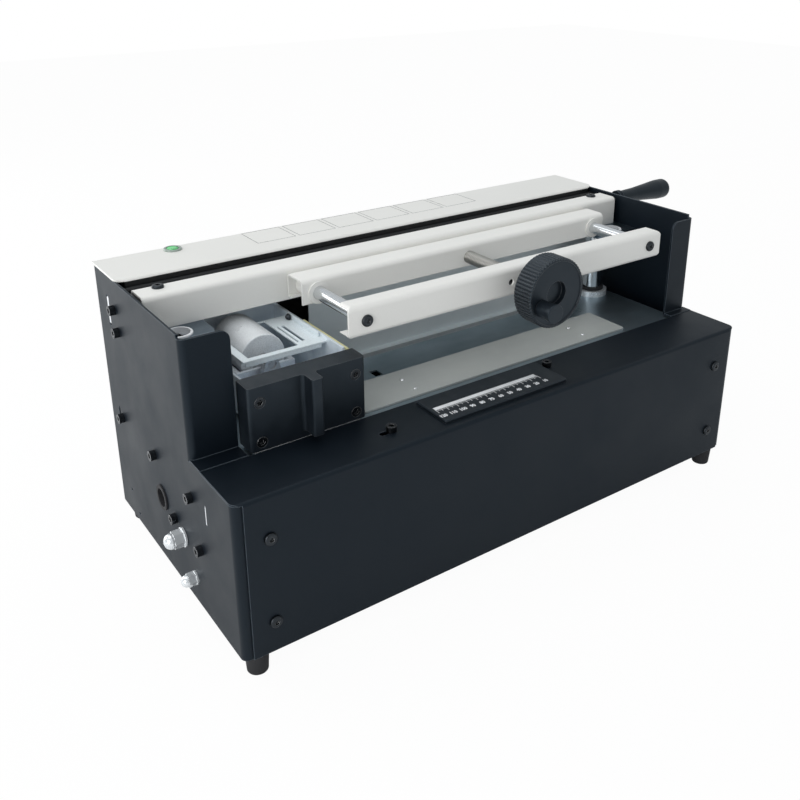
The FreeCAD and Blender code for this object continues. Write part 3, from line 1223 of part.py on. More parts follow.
def crank_pin():
    """Pin of the crank knob, with a head that the knob snaps over."""
    root = WHEEL_REAR_Y - LEAD_LENGTH_IN_WHEEL
    tip = KNOB_FRONT_Y + KNOB_WALL + SLIDE_GAP
    head = tip + CRANK_HEAD_HEIGHT
    corners = [(0, root, 0), (CRANK_PIN_RADIUS, root, 0), (CRANK_PIN_RADIUS, head, 0), (CRANK_HEAD_RADIUS, head, 0),
               (CRANK_HEAD_RADIUS, tip, CRANK_HEAD_HEIGHT / 2), (0, tip, 0)]
    return turned("y", CRANK_X, CRANK_Z, corners)


def crank_knob():
    """Knob with a closed front that turns on the crank pin, a little thinner towards the wheel."""
    rear = WHEEL_FRONT_Y + WHEEL_DISH - KNOB_GAP
    middle = (KNOB_FRONT_Y + rear) / 2
    bore = CRANK_PIN_RADIUS + RUN_GAP
    room = CRANK_HEAD_RADIUS + SLIDE_GAP
    room_y = KNOB_FRONT_Y + KNOB_WALL
    step_y = room_y + CRANK_HEAD_HEIGHT + SLIDE_GAP + SLIDE_GAP
    corners = [(0, KNOB_FRONT_Y, 0), (KNOB_RADIUS, KNOB_FRONT_Y, KNOB_EDGE), (KNOB_WAIST_RADIUS, middle, KNOB_WAIST_ROUND),
               (KNOB_WAIST_RADIUS, rear, 0), (bore, rear, 0), (bore, step_y, 0), (room, step_y, 0), (room, room_y, 0),
               (0, room_y, 0)]
    return turned("y", CRANK_X, CRANK_Z, corners)


# Lever, its shaft and the cams

def lever_arm():
    """Tapered flat arm outside the right side plate, with the riveted pin of the grip."""
    run = (LEVER_GRIP_Y - SHAFT_Y, LEVER_GRIP_Z - SHAFT_Z)
    length = math.hypot(*run)
    along = (run[0] / length, run[1] / length)
    across = (-along[1], along[0])
    corners = []
    wide = LEVER_WIDTH / 2
    slim = LEVER_END_WIDTH / 2
    for place, side in ((0, wide), (0, -wide), (length, -slim), (length, slim)):
        corners.append((SHAFT_Y + along[0] * place + across[0] * side, SHAFT_Z + along[1] * place + across[1] * side, 0))
    bar = prism("x", corners, LEVER_X, LEVER_END_X)
    hub_start = CASE_WIDTH + SHAFT_BUSH_RIM + SLIDE_GAP
    hub = rod("x", SHAFT_Y, SHAFT_Z, LEVER_HUB_RADIUS, hub_start, LEVER_END_X)
    eye = rod("x", LEVER_GRIP_Y, LEVER_GRIP_Z, LEVER_END_WIDTH / 2, LEVER_X, LEVER_END_X)
    bore = rod("x", SHAFT_Y, SHAFT_Z, SHAFT_RADIUS + RUN_GAP, CASE_WIDTH, LEVER_END_X + OVERRUN)
    pin = rod("x", LEVER_GRIP_Y, LEVER_GRIP_Z, GRIP_PIN_RADIUS, LEVER_X, LEVER_END_X + GRIP_PIN_LENGTH)
    return fuse_all([bar, hub, eye, pin]).cut(bore)


def cross_shaft():
    """Shaft of the lever across the case, with a thinner stud through the left side plate."""
    stud_start = -CAP_WASHER_HEIGHT - CAP_NUT_HEX / 2 - SLIDE_GAP
    shaft = rod("x", SHAFT_Y, SHAFT_Z, SHAFT_RADIUS, SIDE_SHEET + SLIDE_GAP, LEVER_END_X)
    return fuse_all([shaft, rod("x", SHAFT_Y, SHAFT_Z, SHAFT_STUD_RADIUS, stud_start, SIDE_SHEET + OVERRUN)])


def shaft_nut():
    """Cap nut and washer on the shaft's left end, a running gap off the plate."""
    nut, washer = cap_nut(SHAFT_Y, SHAFT_Z, -SLIDE_GAP, -1, CAP_NUT_FLATS, CAP_NUT_HEX, CAP_NUT_HEIGHT,
                          CAP_WASHER_RADIUS, SHAFT_STUD_RADIUS)
    return Part.makeCompound([nut, washer])


def spiral_radius(turn_degrees):
    """Height of the follower's middle over the shaft when the lever has turned this far."""
    return FOLLOWER_HEIGHT + LIFT_HEIGHT * turn_degrees / LEVER_SWING


def cam_point(turn_degrees):
    """Point (y, z) of the cam's flank that lies under the follower at that turn."""
    radius = spiral_radius(turn_degrees)
    slope = LIFT_HEIGHT / math.radians(LEVER_SWING)
    angle = math.radians(90 - turn_degrees)
    depth = FOLLOWER_RADIUS + SLIDE_GAP
    length = math.hypot(radius, slope)
    normal = (radius / length, -slope / length)
    radial = radius - depth * normal[0]
    side = depth * normal[1]
    y = radial * math.cos(angle) - side * math.sin(angle)
    z = radial * math.sin(angle) + side * math.cos(angle)
    return (SHAFT_Y + y, SHAFT_Z + z)


def lift_cams():
    """Two spiral cams whose flank lifts the table in step with the lever."""
    start = -CAM_LEAD_ANGLE
    places = [start + (LEVER_SWING + CAM_LEAD_ANGLE) * i / CAM_STEPS for i in range(CAM_STEPS + 1)]
    cams = []
    for x, hub_way in ((CAM_X[0], 1), (CAM_X[1], -1)):
        centre = V(x, SHAFT_Y, SHAFT_Z)
        flank = [V(x, *cam_point(place)) for place in places]
        curve = Part.BSplineCurve()
        curve.interpolate(flank)
        tip = flank[-1] - centre
        nose = FreeCAD.Rotation(V(1, 0, 0), -CAM_DWELL_ANGLE)
        half_nose = FreeCAD.Rotation(V(1, 0, 0), -CAM_DWELL_ANGLE / 2)
        last = centre + nose.multVec(tip)
        dwell = Part.Arc(flank[-1], centre + half_nose.multVec(tip), last)
        edges = [curve.toShape(), dwell.toShape()]
        edges += [Part.makeLine(last, centre), Part.makeLine(centre, flank[0])]
        body = Part.Face(Part.Wire(edges)).extrude(V(CAM_THICKNESS, 0, 0))
        body = fillet(body, "x", CAM_NOSE_ROUND, [(last.y, last.z)])
        far = x + CAM_THICKNESS
        hub_x = (x, far + CAM_HUB_LENGTH) if hub_way > 0 else (x - CAM_HUB_LENGTH, far)
        body = fuse_all([body, rod("x", SHAFT_Y, SHAFT_Z, CAM_HUB_RADIUS, *hub_x)])
        window = last - (last - centre) * (1 - CAM_WINDOW_REACH_SHARE)
        tools = [rod("x", SHAFT_Y, SHAFT_Z, SHAFT_RADIUS + RUN_GAP, *beyond(hub_x))]
        swing = FreeCAD.Rotation(V(1, 0, 0), CAM_LEAD_ANGLE + CAM_DWELL_ANGLE)
        spot = centre + swing.multVec(window - centre)
        tools.append(rod("x", spot.y, spot.z, CAM_WINDOW_RADIUS, *beyond((x, far))))
        cams.append(cut_all(body, tools))
    return Part.makeCompound(cams)


def lever_grip():
    """Black grip that swells towards its rounded end."""
    start = LEVER_END_X + SLIDE_GAP
    end = start + GRIP_LENGTH
    waist = start + GRIP_LENGTH * GRIP_WAIST_SHARE
    full = start + GRIP_LENGTH * GRIP_FULL_SHARE
    corners = [(0, start, 0), (GRIP_BASE_RADIUS, start, 0), (GRIP_WAIST_RADIUS, waist, GRIP_WAIST_ROUND),
               (GRIP_END_RADIUS, full, GRIP_END_ROUND), (GRIP_END_RADIUS, end, GRIP_END_ROUND), (0, end, 0)]
    grip = turned("x", LEVER_GRIP_Y, LEVER_GRIP_Z, corners)
    bore_x = (LEVER_X, LEVER_END_X + GRIP_PIN_LENGTH + SLIDE_GAP)
    bore = rod("x", LEVER_GRIP_Y, LEVER_GRIP_Z, GRIP_PIN_RADIUS + RUN_GAP, *bore_x)
    return grip.cut(bore)


# Lifting table

def lift_table():
    """Table plate with bent lips and a small window, set in the deck's cut-out."""
    y = (TABLE_FRONT_Y, DECK_REAR_Y)
    path = [(y[1], DECK_TOP - TABLE_LIP), (y[1], DECK_TOP), (y[0], DECK_TOP), (y[0], DECK_TOP - TABLE_LIP)]
    table = sheet("x", path, DECK_SHEET, DECK_SHEET + SLIDE_GAP, *TABLE_X)
    x, y = TABLE_WINDOW_XY
    return table.cut(block(around(x, TABLE_WINDOW[0]), around(y, TABLE_WINDOW[1]), CUT_DECK))


def cover_plate():
    """Light wear plate on the front of the table with two pairs of holes."""
    y = (TABLE_FRONT_Y, TABLE_FRONT_Y + PLATE_DEPTH)
    body = plate("z", TABLE_X, y, DECK_TOP, PLATE_TOP_Z, SIDE_SHEET)
    holes = []
    for x in PLATE_HOLE_X:
        for hole_y in PLATE_HOLE_Y:
            holes.append(rod("z", x, hole_y, PLATE_HOLE_RADIUS, *beyond((DECK_TOP, PLATE_TOP_Z))))
    return cut_all(body, holes)


def lift_plates():
    """Two hanging fork plates that straddle the shaft, with welded bushes on the upright rods."""
    plates = []
    fork_z = SHAFT_Z + SHAFT_RADIUS + FORK_TOP_GAP
    fork_y = around(SHAFT_Y, FORK_WIDTH)
    y = LIFT_PLATE_Y
    low = LIFT_PLATE_LOW_Z
    corners = [(y[0], low, LIFT_PLATE_ROUND), (fork_y[0], low, 0), (fork_y[0], fork_z, FORK_ROUND),
               (fork_y[1], fork_z, FORK_ROUND), (fork_y[1], low, 0), (y[1], low, LIFT_PLATE_ROUND),
               (y[1], DECK_LOW_Z, 0), (y[0], DECK_LOW_Z, 0)]
    flange_y = (y[0] + BUSH_RADIUS, y[1] - BUSH_RADIUS)
    for x, way in zip(LIFT_PLATE_X, (-1, 1)):
        far = x + LIFT_PLATE_SHEET
        outside = x if way < 0 else far
        flange_x = sorted((outside, outside + way * LIFT_FLANGE))
        flange = block(flange_x, flange_y, (DECK_LOW_Z - LIFT_PLATE_SHEET, DECK_LOW_Z))
        low = LIFT_PLATE_LOW_Z + LIFT_PLATE_ROUND
        pieces = [prism("x", corners, x, far), flange]
        tools = [rod("x", SHAFT_Y, FOLLOWER_Z, FOLLOWER_PIN_RADIUS + RUN_GAP, *beyond((x, far)))]
        guide_x = GUIDE_X[0] if way < 0 else GUIDE_X[1]
        for y in GUIDE_Y:
            pieces.append(rod("z", guide_x, y, BUSH_RADIUS, low, low + BUSH_LENGTH))
            tools.append(rod("z", guide_x, y, GUIDE_RADIUS + RUN_GAP, low - OVERRUN, DECK_TOP))
        plates.append(cut_all(fuse_all(pieces), tools))
    return Part.makeCompound(plates)


def cam_followers():
    """Hardened follower pins that rest on the cams."""
    pins = []
    for x, way in zip(LIFT_PLATE_X, (-1, 1)):
        inside = x + LIFT_PLATE_SHEET if way < 0 else x
        outside = x - FOLLOWER_HEAD if way < 0 else x + LIFT_PLATE_SHEET + FOLLOWER_HEAD
        tip = inside - way * (CAM_GAP + CAM_THICKNESS + CAM_GAP)
        roller = rod("x", SHAFT_Y, FOLLOWER_Z, FOLLOWER_RADIUS, *sorted((inside, tip)))
        stem = rod("x", SHAFT_Y, FOLLOWER_Z, FOLLOWER_PIN_RADIUS, *sorted((inside + way * SLIVER, outside)))
        pins.append(fuse_all([roller, stem]))
    return Part.makeCompound(pins)


# Glue carriage

def handle_block():
    """Black front block with counterbores and a fin to push it by, which clears ruler and screws."""
    body = plate("y", BLOCK_X, BLOCK_Z, BLOCK_Y[0], BLOCK_Y[1])
    body = fillet(body, "z", BLOCK_ROUND, [(BLOCK_X[0], BLOCK_Y[0]), (BLOCK_X[1], BLOCK_Y[0])])
    face = BLOCK_Y[0]
    front = face - FIN_DEPTH
    root = face + FIN_ROOT
    foot_x = (FIN_X[0] - FIN_ROOT, FIN_X[1] + FIN_ROOT)
    corners = [(foot_x[0], root, 0), (foot_x[0], face, 0), (FIN_X[0], face, FIN_ROOT), (FIN_X[0], front, SIDE_SHEET),
               (FIN_X[1], front, SIDE_SHEET), (FIN_X[1], face, FIN_ROOT), (foot_x[1], face, 0), (foot_x[1], root, 0)]
    low = BOX_HEIGHT + max(RULER_HEIGHT, SCREW_HEAD_HEIGHT) + FIN_FOOT_GAP
    fin = prism("z", corners, low, BLOCK_Z[1])
    tools = []
    for x in BLOCK_SCREW_X:
        for z in BLOCK_SCREW_Z:
            tools.append(rod("y", x, z, SCREW_HEAD_RADIUS + HOLE_GAP, face - OVERRUN, face + BLOCK_COUNTERBORE))
            tools.append(rod("y", x, z, SCREW_SHANK_RADIUS + RUN_GAP, face, BLOCK_Y[1] + OVERRUN))
    return cut_all(fuse_all([body, fin]), tools)


def carriage_screws():
    """Socket screws in the block's counterbores and low heads on the pan's rear wall."""
    seat = BLOCK_Y[0] + BLOCK_COUNTERBORE
    screws = [socket_screw("y", x, z, seat, -1) for x in BLOCK_SCREW_X for z in BLOCK_SCREW_Z]
    front = PAN_REAR_Y - PAN_SHEET
    tip = front - PAN_SCREW_HEIGHT
    corners = [(0, front, 0), (PAN_SCREW_RADIUS, front, 0), (PAN_SCREW_RADIUS, tip, PAN_SCREW_EDGE), (0, tip, 0)]
    screws += [turned("y", x, PAN_HOLE_Z + PAN_HOLE_RADIUS, corners) for x in PAN_SCREW_X]
    return Part.makeCompound(screws)


def carriage_pan():
    """Zinc sheet pan behind the block: floor, left, rear and right walls and a side shelf."""
    y = (BLOCK_Y[1], PAN_REAR_Y)
    floor = block(PAN_X, y, (PAN_FLOOR_Z, PAN_FLOOR_TOP))
    left = block((PAN_X[0], PAN_X[0] + PAN_SHEET), y, (PAN_FLOOR_Z, TANK_TOP))
    right = block((PAN_X[1] - PAN_SHEET, PAN_X[1]), y, (PAN_FLOOR_Z, PAN_TOP))
    rear = block((PAN_X[0] - PAN_LEFT_WING, PAN_X[1]), (y[1] - PAN_SHEET, y[1]), (PAN_FLOOR_Z, PAN_TOP))
    front_z = (PAN_FLOOR_Z, BLOCK_Z[1] - FRAME_LIP)
    front = block((PAN_X[0], PAN_X[1]), (y[0], y[0] + PAN_SHEET), front_z)
    shelf_x = (PAN_X[1] - SLIVER, PAN_X[1] + PAN_SHELF)
    shelf_z = PAN_TOP - PAN_SHELF_DROP
    shelf = block(shelf_x, (y[0], WIPER_STRIP_REAR_Y), (shelf_z, shelf_z + COVER_SHEET))
    tools = [rod("y", x, PAN_HOLE_Z, PAN_HOLE_RADIUS, *beyond((y[1], y[1]))) for x in PAN_HOLE_X]
    for x in BLOCK_SCREW_X:
        for z in BLOCK_SCREW_Z:
            tools.append(rod("y", x, z, SCREW_SHANK_RADIUS + RUN_GAP, *beyond((y[0], y[0]))))
    return cut_all(fuse_all([floor, left, right, rear, front, shelf]), tools)


def wiper_strip():
    """Yellow strip on the pan's side shelf."""
    low = PAN_TOP - PAN_SHELF_DROP + COVER_SHEET
    x = (PAN_X[1] + PAN_SHELF - WIPER_STRIP_WIDTH, PAN_X[1] + PAN_SHELF)
    return block(x, (BLOCK_Y[1], WIPER_STRIP_REAR_Y), (low, low + WIPER_STRIP_HEIGHT))


def carriage_shoes():
    """Shoes of the carriage: one on the deck's front strip, one gripping the rear guide bar."""
    x = (BLOCK_X[0] + SLIDER_INSET, BLOCK_X[1] - SLIDER_INSET)
    front = plate("z", x, FRONT_SLIDER_Y, DECK_TOP + SLIDE_GAP, BLOCK_Z[0], SIDE_SHEET)
    x = (PAN_X[0] + SLIDER_INSET, PAN_X[1] - SLIDER_INSET)
    rear = block(x, (REAR_SLIDER_FRONT_Y, WALL_Y - REAR_SLIDER_GAP), (BAR_Z[0], PAN_FLOOR_Z))
    room_y = (WALL_Y - BAR_DEPTH - SLIDE_GAP, WALL_Y)
    room = block(beyond(x), room_y, (BAR_Z[0] - OVERRUN, BAR_Z[1] + SLIDE_GAP))
    return Part.makeCompound([front, rear.cut(room)])


def glue_tank():
    """Cast trough whose round well follows the roller."""
    outer = ROLLER_RADIUS + TANK_GAP + TANK_WALL
    y = (ROLLER_Y[0] - TANK_END_GAP - TANK_WALL, ROLLER_Y[1] + TANK_END_GAP + TANK_WALL)
    well = (ROLLER_Y[0] - TANK_END_GAP, ROLLER_Y[1] + TANK_END_GAP)
    body = block((ROLLER_X - outer, ROLLER_X + outer), y, (PAN_FLOOR_TOP, TANK_TOP))
    room = rod("y", ROLLER_X, ROLLER_Z, ROLLER_RADIUS + TANK_GAP, *well)
    heater = heater_rods(HEATER_RADIUS + HOLE_GAP)
    return cut_all(body, [room] + heater)


def heater_rods(radius):
    """Two rods along the tank, one in each lower corner."""
    outer = ROLLER_RADIUS + TANK_GAP + TANK_WALL
    y = (ROLLER_Y[0] - TANK_END_GAP - TANK_WALL - HEATER_PROUD, ROLLER_Y[1] + TANK_END_GAP)
    z = PAN_FLOOR_TOP + HEATER_RADIUS + HEATER_DROP
    inset = outer - HEATER_RADIUS - TANK_WALL
    return [rod("y", ROLLER_X + way * inset, z, radius, *y) for way in (-1, 1)]


def tank_heaters():
    """Cartridge heaters of the tank."""
    return Part.makeCompound(heater_rods(HEATER_RADIUS))


def roller_bearings():
    """Two bearing stands on the pan floor, in front of and behind the tank."""
    stands = []
    foot = around(ROLLER_X, BEARING_FOOT_WIDTH)
    foot_z = (PAN_FLOOR_TOP, PAN_FLOOR_TOP + BEARING_FOOT_HEIGHT)
    head = (ROLLER_X - BEARING_HEAD_RADIUS, ROLLER_X + BEARING_HEAD_RADIUS)
    corners = [(foot[0], foot_z[0], 0), (foot[1], foot_z[0], 0), (foot[1], foot_z[1], 0), (head[1], ROLLER_Z, 0),
               (head[0], ROLLER_Z, 0), (foot[0], foot_z[1], 0)]
    for middle in BEARING_Y:
        y = around(middle, BEARING_DEPTH)
        stand = fuse_all([prism("y", corners, *y), rod("y", ROLLER_X, ROLLER_Z, BEARING_HEAD_RADIUS, *y)])
        stands.append(stand.cut(rod("y", ROLLER_X, ROLLER_Z, ROLLER_BORE + RUN_GAP, *beyond(y))))
    return Part.makeCompound(stands)


def scraper_frame():
    """White frame round the roller with a slotted side, a raised rib and a front lip."""
    inner_right = PAN_X[1] - PAN_SHEET
    x = (PAN_X[0], inner_right)
    y = (FRAME_FRONT_Y, PAN_REAR_Y - FRAME_REAR_GAP)
    z = (FRAME_Z, FRAME_Z + FRAME_SHEET)
    body = plate("z", x, y, z[0], z[1], SIDE_SHEET)
    window_x = (ROLLER_X - ROLLER_RADIUS - FRAME_SIDE, ROLLER_X + ROLLER_RADIUS + FRAME_SIDE)
    window = block(window_x, (y[0] + FRAME_BAR, y[1] - FRAME_SIDE), beyond(z))
    gap = block(FRAME_SLOT_X, FRAME_SLOT_Y, beyond(z))
    lip = block((x[0] + SIDE_SHEET, x[1] - SIDE_SHEET), (y[0], y[0] + FRAME_SHEET), (z[1] - FRAME_LIP, z[1]))
    rib_y = (y[0] + FRAME_BAR, y[1] - FRAME_BAR)
    rib = block((FRAME_RIB_X, FRAME_RIB_X + FRAME_SHEET), rib_y, (z[0], z[1] + FRAME_RIB_RISE))
    blade_y = (FRAME_SLOT_Y[0] - SLIVER, FRAME_SLOT_Y[1] + SLIVER)
    blade = block(around(sum(FRAME_SLOT_X) / 2, BLADE_WIDTH), blade_y, z)
    return fuse_all([cut_all(body, [window, gap]), lip, rib, blade])


# Glue roller

def glue_roller():
    """Drum with softened edges that picks up the glue."""
    bore = ROLLER_BORE + RUN_GAP
    front, rear = ROLLER_Y
    corners = [(bore, front, 0), (ROLLER_RADIUS, front, ROLLER_EDGE), (ROLLER_RADIUS, rear, ROLLER_EDGE), (bore, rear, 0)]
    return turned("y", ROLLER_X, ROLLER_Z, corners)


def roller_shaft():
    """Shaft of the drum in its two bearings."""
    return rod("y", ROLLER_X, ROLLER_Z, ROLLER_BORE, *ROLLER_SHAFT_Y)


# Electrical pieces on the base plate

def control_board():
    """Board on four standoffs with a relay and a capacitor."""
    low = FLOOR_TOP + BOARD_STANDOFF
    top = low + BOARD_SHEET
    pieces = [plate("z", BOARD_X, BOARD_Y, low, top, SIDE_SHEET)]
    for x in (BOARD_X[0] + STANDOFF_INSET, BOARD_X[1] - STANDOFF_INSET):
        for y in (BOARD_Y[0] + STANDOFF_INSET, BOARD_Y[1] - STANDOFF_INSET):
            pieces.append(rod("z", x, y, STANDOFF_RADIUS, FLOOR_TOP, low + SLIVER))
    size = (BOARD_X[1] - BOARD_X[0], BOARD_Y[1] - BOARD_Y[0])
    x = BOARD_X[0] + size[0] * RELAY_PLACE_SHARES[0]
    y = BOARD_Y[0] + size[1] * RELAY_PLACE_SHARES[1]
    pieces.append(block((x, x + RELAY_SIZE[0]), (y, y + RELAY_SIZE[1]), (top - SLIVER, top + RELAY_SIZE[2])))
    x = BOARD_X[0] + size[0] * CAN_PLACE_SHARES[0]
    y = BOARD_Y[0] + size[1] * CAN_PLACE_SHARES[1]
    pieces.append(rod("z", x, y, CAN_RADIUS, top - SLIVER, top + CAN_HEIGHT))
    return fuse_all(pieces)


PIECES = {
    "left_side_plate": left_side_plate, "right_side_plate": right_side_plate, "front_cover": front_cover,
    "base_plate": base_plate, "rear_panel": rear_panel, "top_cover": top_cover, "rear_wall": rear_wall,
    "rubber_feet": rubber_feet, "socket_screws": socket_screws, "button_screws": button_screws,
    "cable_grommet": cable_grommet, "slot_plate": slot_plate, "ruler_plate": ruler_plate,
    "power_inlet": power_inlet, "switch_body": switch_body, "control_board": control_board,
    "deck_plate": deck_plate, "inner_walls": inner_walls, "rear_guide_bar": rear_guide_bar,
    "shaft_bushes": shaft_bushes, "stay_rod": stay_rod, "frame_nuts": frame_nuts,
    "lift_guide_rods": lift_guide_rods, "guide_columns": guide_columns, "column_flanges": column_flanges,
    "column_wipers": column_wipers, "rail_brackets": rail_brackets, "ring_bushes": ring_bushes,
    "clamp_rail": clamp_rail, "guide_rods": guide_rods, "clamp_beam": clamp_beam, "screw_nut": screw_nut,
    "jaw_channel": jaw_channel, "jaw_bushes": jaw_bushes, "thrust_plate": thrust_plate,
    "handwheel": handwheel, "lead_screw": lead_screw, "crank_pin": crank_pin, "crank_knob": crank_knob,
    "lever_arm": lever_arm, "cross_shaft": cross_shaft, "shaft_nut": shaft_nut, "lift_cams": lift_cams,
    "lever_grip": lever_grip, "lift_table": lift_table, "cover_plate": cover_plate,
    "lift_plates": lift_plates, "cam_followers": cam_followers, "handle_block": handle_block,
    "carriage_screws": carriage_screws, "carriage_pan": carriage_pan, "wiper_strip": wiper_strip,
    "carriage_shoes": carriage_shoes, "glue_tank": glue_tank, "tank_heaters": tank_heaters,
    "roller_bearings": roller_bearings, "scraper_frame": scraper_frame, "glue_roller": glue_roller,
    "roller_shaft": roller_shaft, "rocker_button": rocker_button,
}


def build():
    """Shapes by node name, moved so that the origin is under the middle of the machine."""
    shapes = {name: make() for name, make in PIECES.items()}
    whole = Part.makeCompound(list(shapes.values())).optimalBoundingBox()
    shift = V(-(whole.XMin + whole.XMax) / 2, -(whole.YMin + whole.YMax) / 2, -whole.ZMin)
    for shape in shapes.values():
        shape.translate(shift)
    return shapes, shift


SHAPES, SHIFT = build()
for node, shape in SHAPES.items():
    shape.exportStep("parts/" + node + ".step")
print("nodes", len(SHAPES), "shift", SHIFT, "screw lead", THREAD_LEAD)
print("travel of the jaw", JAW_TRAVEL, "and of the carriage", CARRIAGE_TRAVEL)
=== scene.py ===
"""Looks of the thermal binding machine: finishes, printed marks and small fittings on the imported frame.

Everything is in metres in the frame of the part's source: +X along the book to the right, +Y to the
rear, +Z up, with the origin on the bench under the middle of the machine.
"""

import json
import logging
import math
from dataclasses import dataclass, replace
from enum import Enum

import bmesh
import bpy
from mathutils import Euler, Matrix, Vector


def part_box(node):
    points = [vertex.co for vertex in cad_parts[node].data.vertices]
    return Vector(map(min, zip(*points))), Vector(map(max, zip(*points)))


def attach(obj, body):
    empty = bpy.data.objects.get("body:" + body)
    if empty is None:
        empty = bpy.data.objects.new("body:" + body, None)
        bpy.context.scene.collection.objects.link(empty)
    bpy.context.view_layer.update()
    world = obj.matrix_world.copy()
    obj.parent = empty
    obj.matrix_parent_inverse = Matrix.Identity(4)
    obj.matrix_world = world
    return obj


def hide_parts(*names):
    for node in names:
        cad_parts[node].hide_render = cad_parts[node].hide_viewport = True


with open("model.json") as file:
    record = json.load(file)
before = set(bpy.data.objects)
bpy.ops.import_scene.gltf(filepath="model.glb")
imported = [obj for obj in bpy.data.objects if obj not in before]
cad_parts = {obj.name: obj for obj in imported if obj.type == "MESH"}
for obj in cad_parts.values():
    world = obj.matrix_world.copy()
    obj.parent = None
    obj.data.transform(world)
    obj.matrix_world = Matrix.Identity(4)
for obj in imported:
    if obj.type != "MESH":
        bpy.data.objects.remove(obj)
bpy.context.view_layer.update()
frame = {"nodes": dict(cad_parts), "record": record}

MM = 0.001
Triple = tuple[float, float, float]
Colour = Triple
Span = tuple[float, float]
Node = bpy.types.Node
Tree = bpy.types.NodeTree
Socket = bpy.types.NodeSocket
WHITE: Colour = (1.0, 1.0, 1.0)
# Colour of painted shade.
PAINTED_SHADE: Colour = (0.006, 0.007, 0.008)
COOL: Colour = (0.7, 0.86, 1.0)
EVEN: Triple = (1.0, 1.0, 1.0)

# Ranges of a noise pattern and of the turned-away share of a rounded edge; the edge ranges set where edges
# are painted paler, partly as wear and partly as painted highlight.
NOISE_SPAN = (0.3, 0.7)
WEAR_AND_HIGHLIGHT_SPAN = (0.03, 0.35)
RUB_AND_HIGHLIGHT_SPAN = (0.02, 0.3)

# Numbers of finer layers in the noise patterns.
FINE_DETAIL = 2.0
LINE_DETAIL = 3.0
FILM_DETAIL = 4.0
CLOUD_DETAIL = 5.0
SCUFF_DETAIL = 6.0

# A Wave texture of scale 1 repeats every tau / 20.
WAVE_STEP = math.tau / 20
BEVEL_SAMPLES = 6
ROUND_SEGMENTS = 2
SMOOTH_ANGLE = math.radians(30.0)
MERGE_DISTANCE = 0.0005 * MM
EAST = Vector((1, 0, 0))
NORTH = Vector((0, 1, 0))
UP = Vector((0, 0, 1))

log = logging.getLogger("binding_machine")


class Body(Enum):
    """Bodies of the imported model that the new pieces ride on."""

    FRAME = "frame"
    TABLE = "table"
    CARRIAGE = "carriage"


class Slot(Enum):
    """Material slots of the record."""

    BLACK_CASE = "black_case"
    IVORY_COAT = "ivory_coat"
    ZINC_SHEET = "zinc_sheet"
    DARK_ZINC = "dark_zinc"
    STEEL = "steel"
    CHROME_BAR = "chrome_bar"
    BLACK_STEEL = "black_steel"
    CAST_ALLOY = "cast_alloy"
    BRASS_NUT = "brass_nut"
    BLACK_PLASTIC = "black_plastic"
    WHITE_PLASTIC = "white_plastic"
    YELLOW_PLASTIC = "yellow_plastic"
    GREEN_PLASTIC = "green_plastic"
    BOARD_GREEN = "board_green"
    RUBBER = "rubber"


def opaque(colour: object) -> object:
    """Colour with an alpha of one; a socket or a plain number stays as it is."""
    return (*colour, 1.0) if isinstance(colour, tuple) else colour


def fill(node: Node, inputs: dict) -> None:
    """Set or link the inputs of a node.

    Args:
        node: the node.
        inputs: values or output sockets by the name or number of the input.
    """
    for key, value in inputs.items():
        if isinstance(value, Socket):
            node.id_data.links.new(value, node.inputs[key])
        else:
            node.inputs[key].default_value = value


def add_node(tree: Tree, kind: str, inputs: dict, **settings) -> Node:
    """Add a node to a tree.

    Args:
        tree: node tree of a material or of the world.
        kind: type of the node.
        inputs: values or output sockets by the name or number of the input.
        settings: attributes of the node.

    Returns:
        The new node.
    """
    made = tree.nodes.new(kind)
    for key, value in settings.items():
        setattr(made, key, value)
    fill(made, inputs)
    return made


def show_apart(tree: Tree, share: float, lighting: Node, shown: Node) -> None:
    """Let the camera see another shader than the one that takes part in the lighting.

    Args:
        tree: node tree of a material or of the world.
        share: share of the shown shader in what the camera sees.
        lighting: shader for all other rays.
        shown: shader for the camera.
    """
    seen = add_node(tree, "ShaderNodeLightPath", {}).outputs["Is Camera Ray"]
    factor = add_node(tree, "ShaderNodeMath", {0: seen, 1: share}, operation="MULTIPLY").outputs[0]
    inputs = {0: factor, 1: lighting.outputs[0], 2: shown.outputs[0]}
    mixer = add_node(tree, "ShaderNodeMixShader", inputs)
    fill(tree.get_output_node("ALL"), {"Surface": mixer.outputs[0]})


def toned(colour: Colour, factor: float) -> Colour:
    """Colour with every part multiplied by a factor."""
    return tuple(part * factor for part in colour)


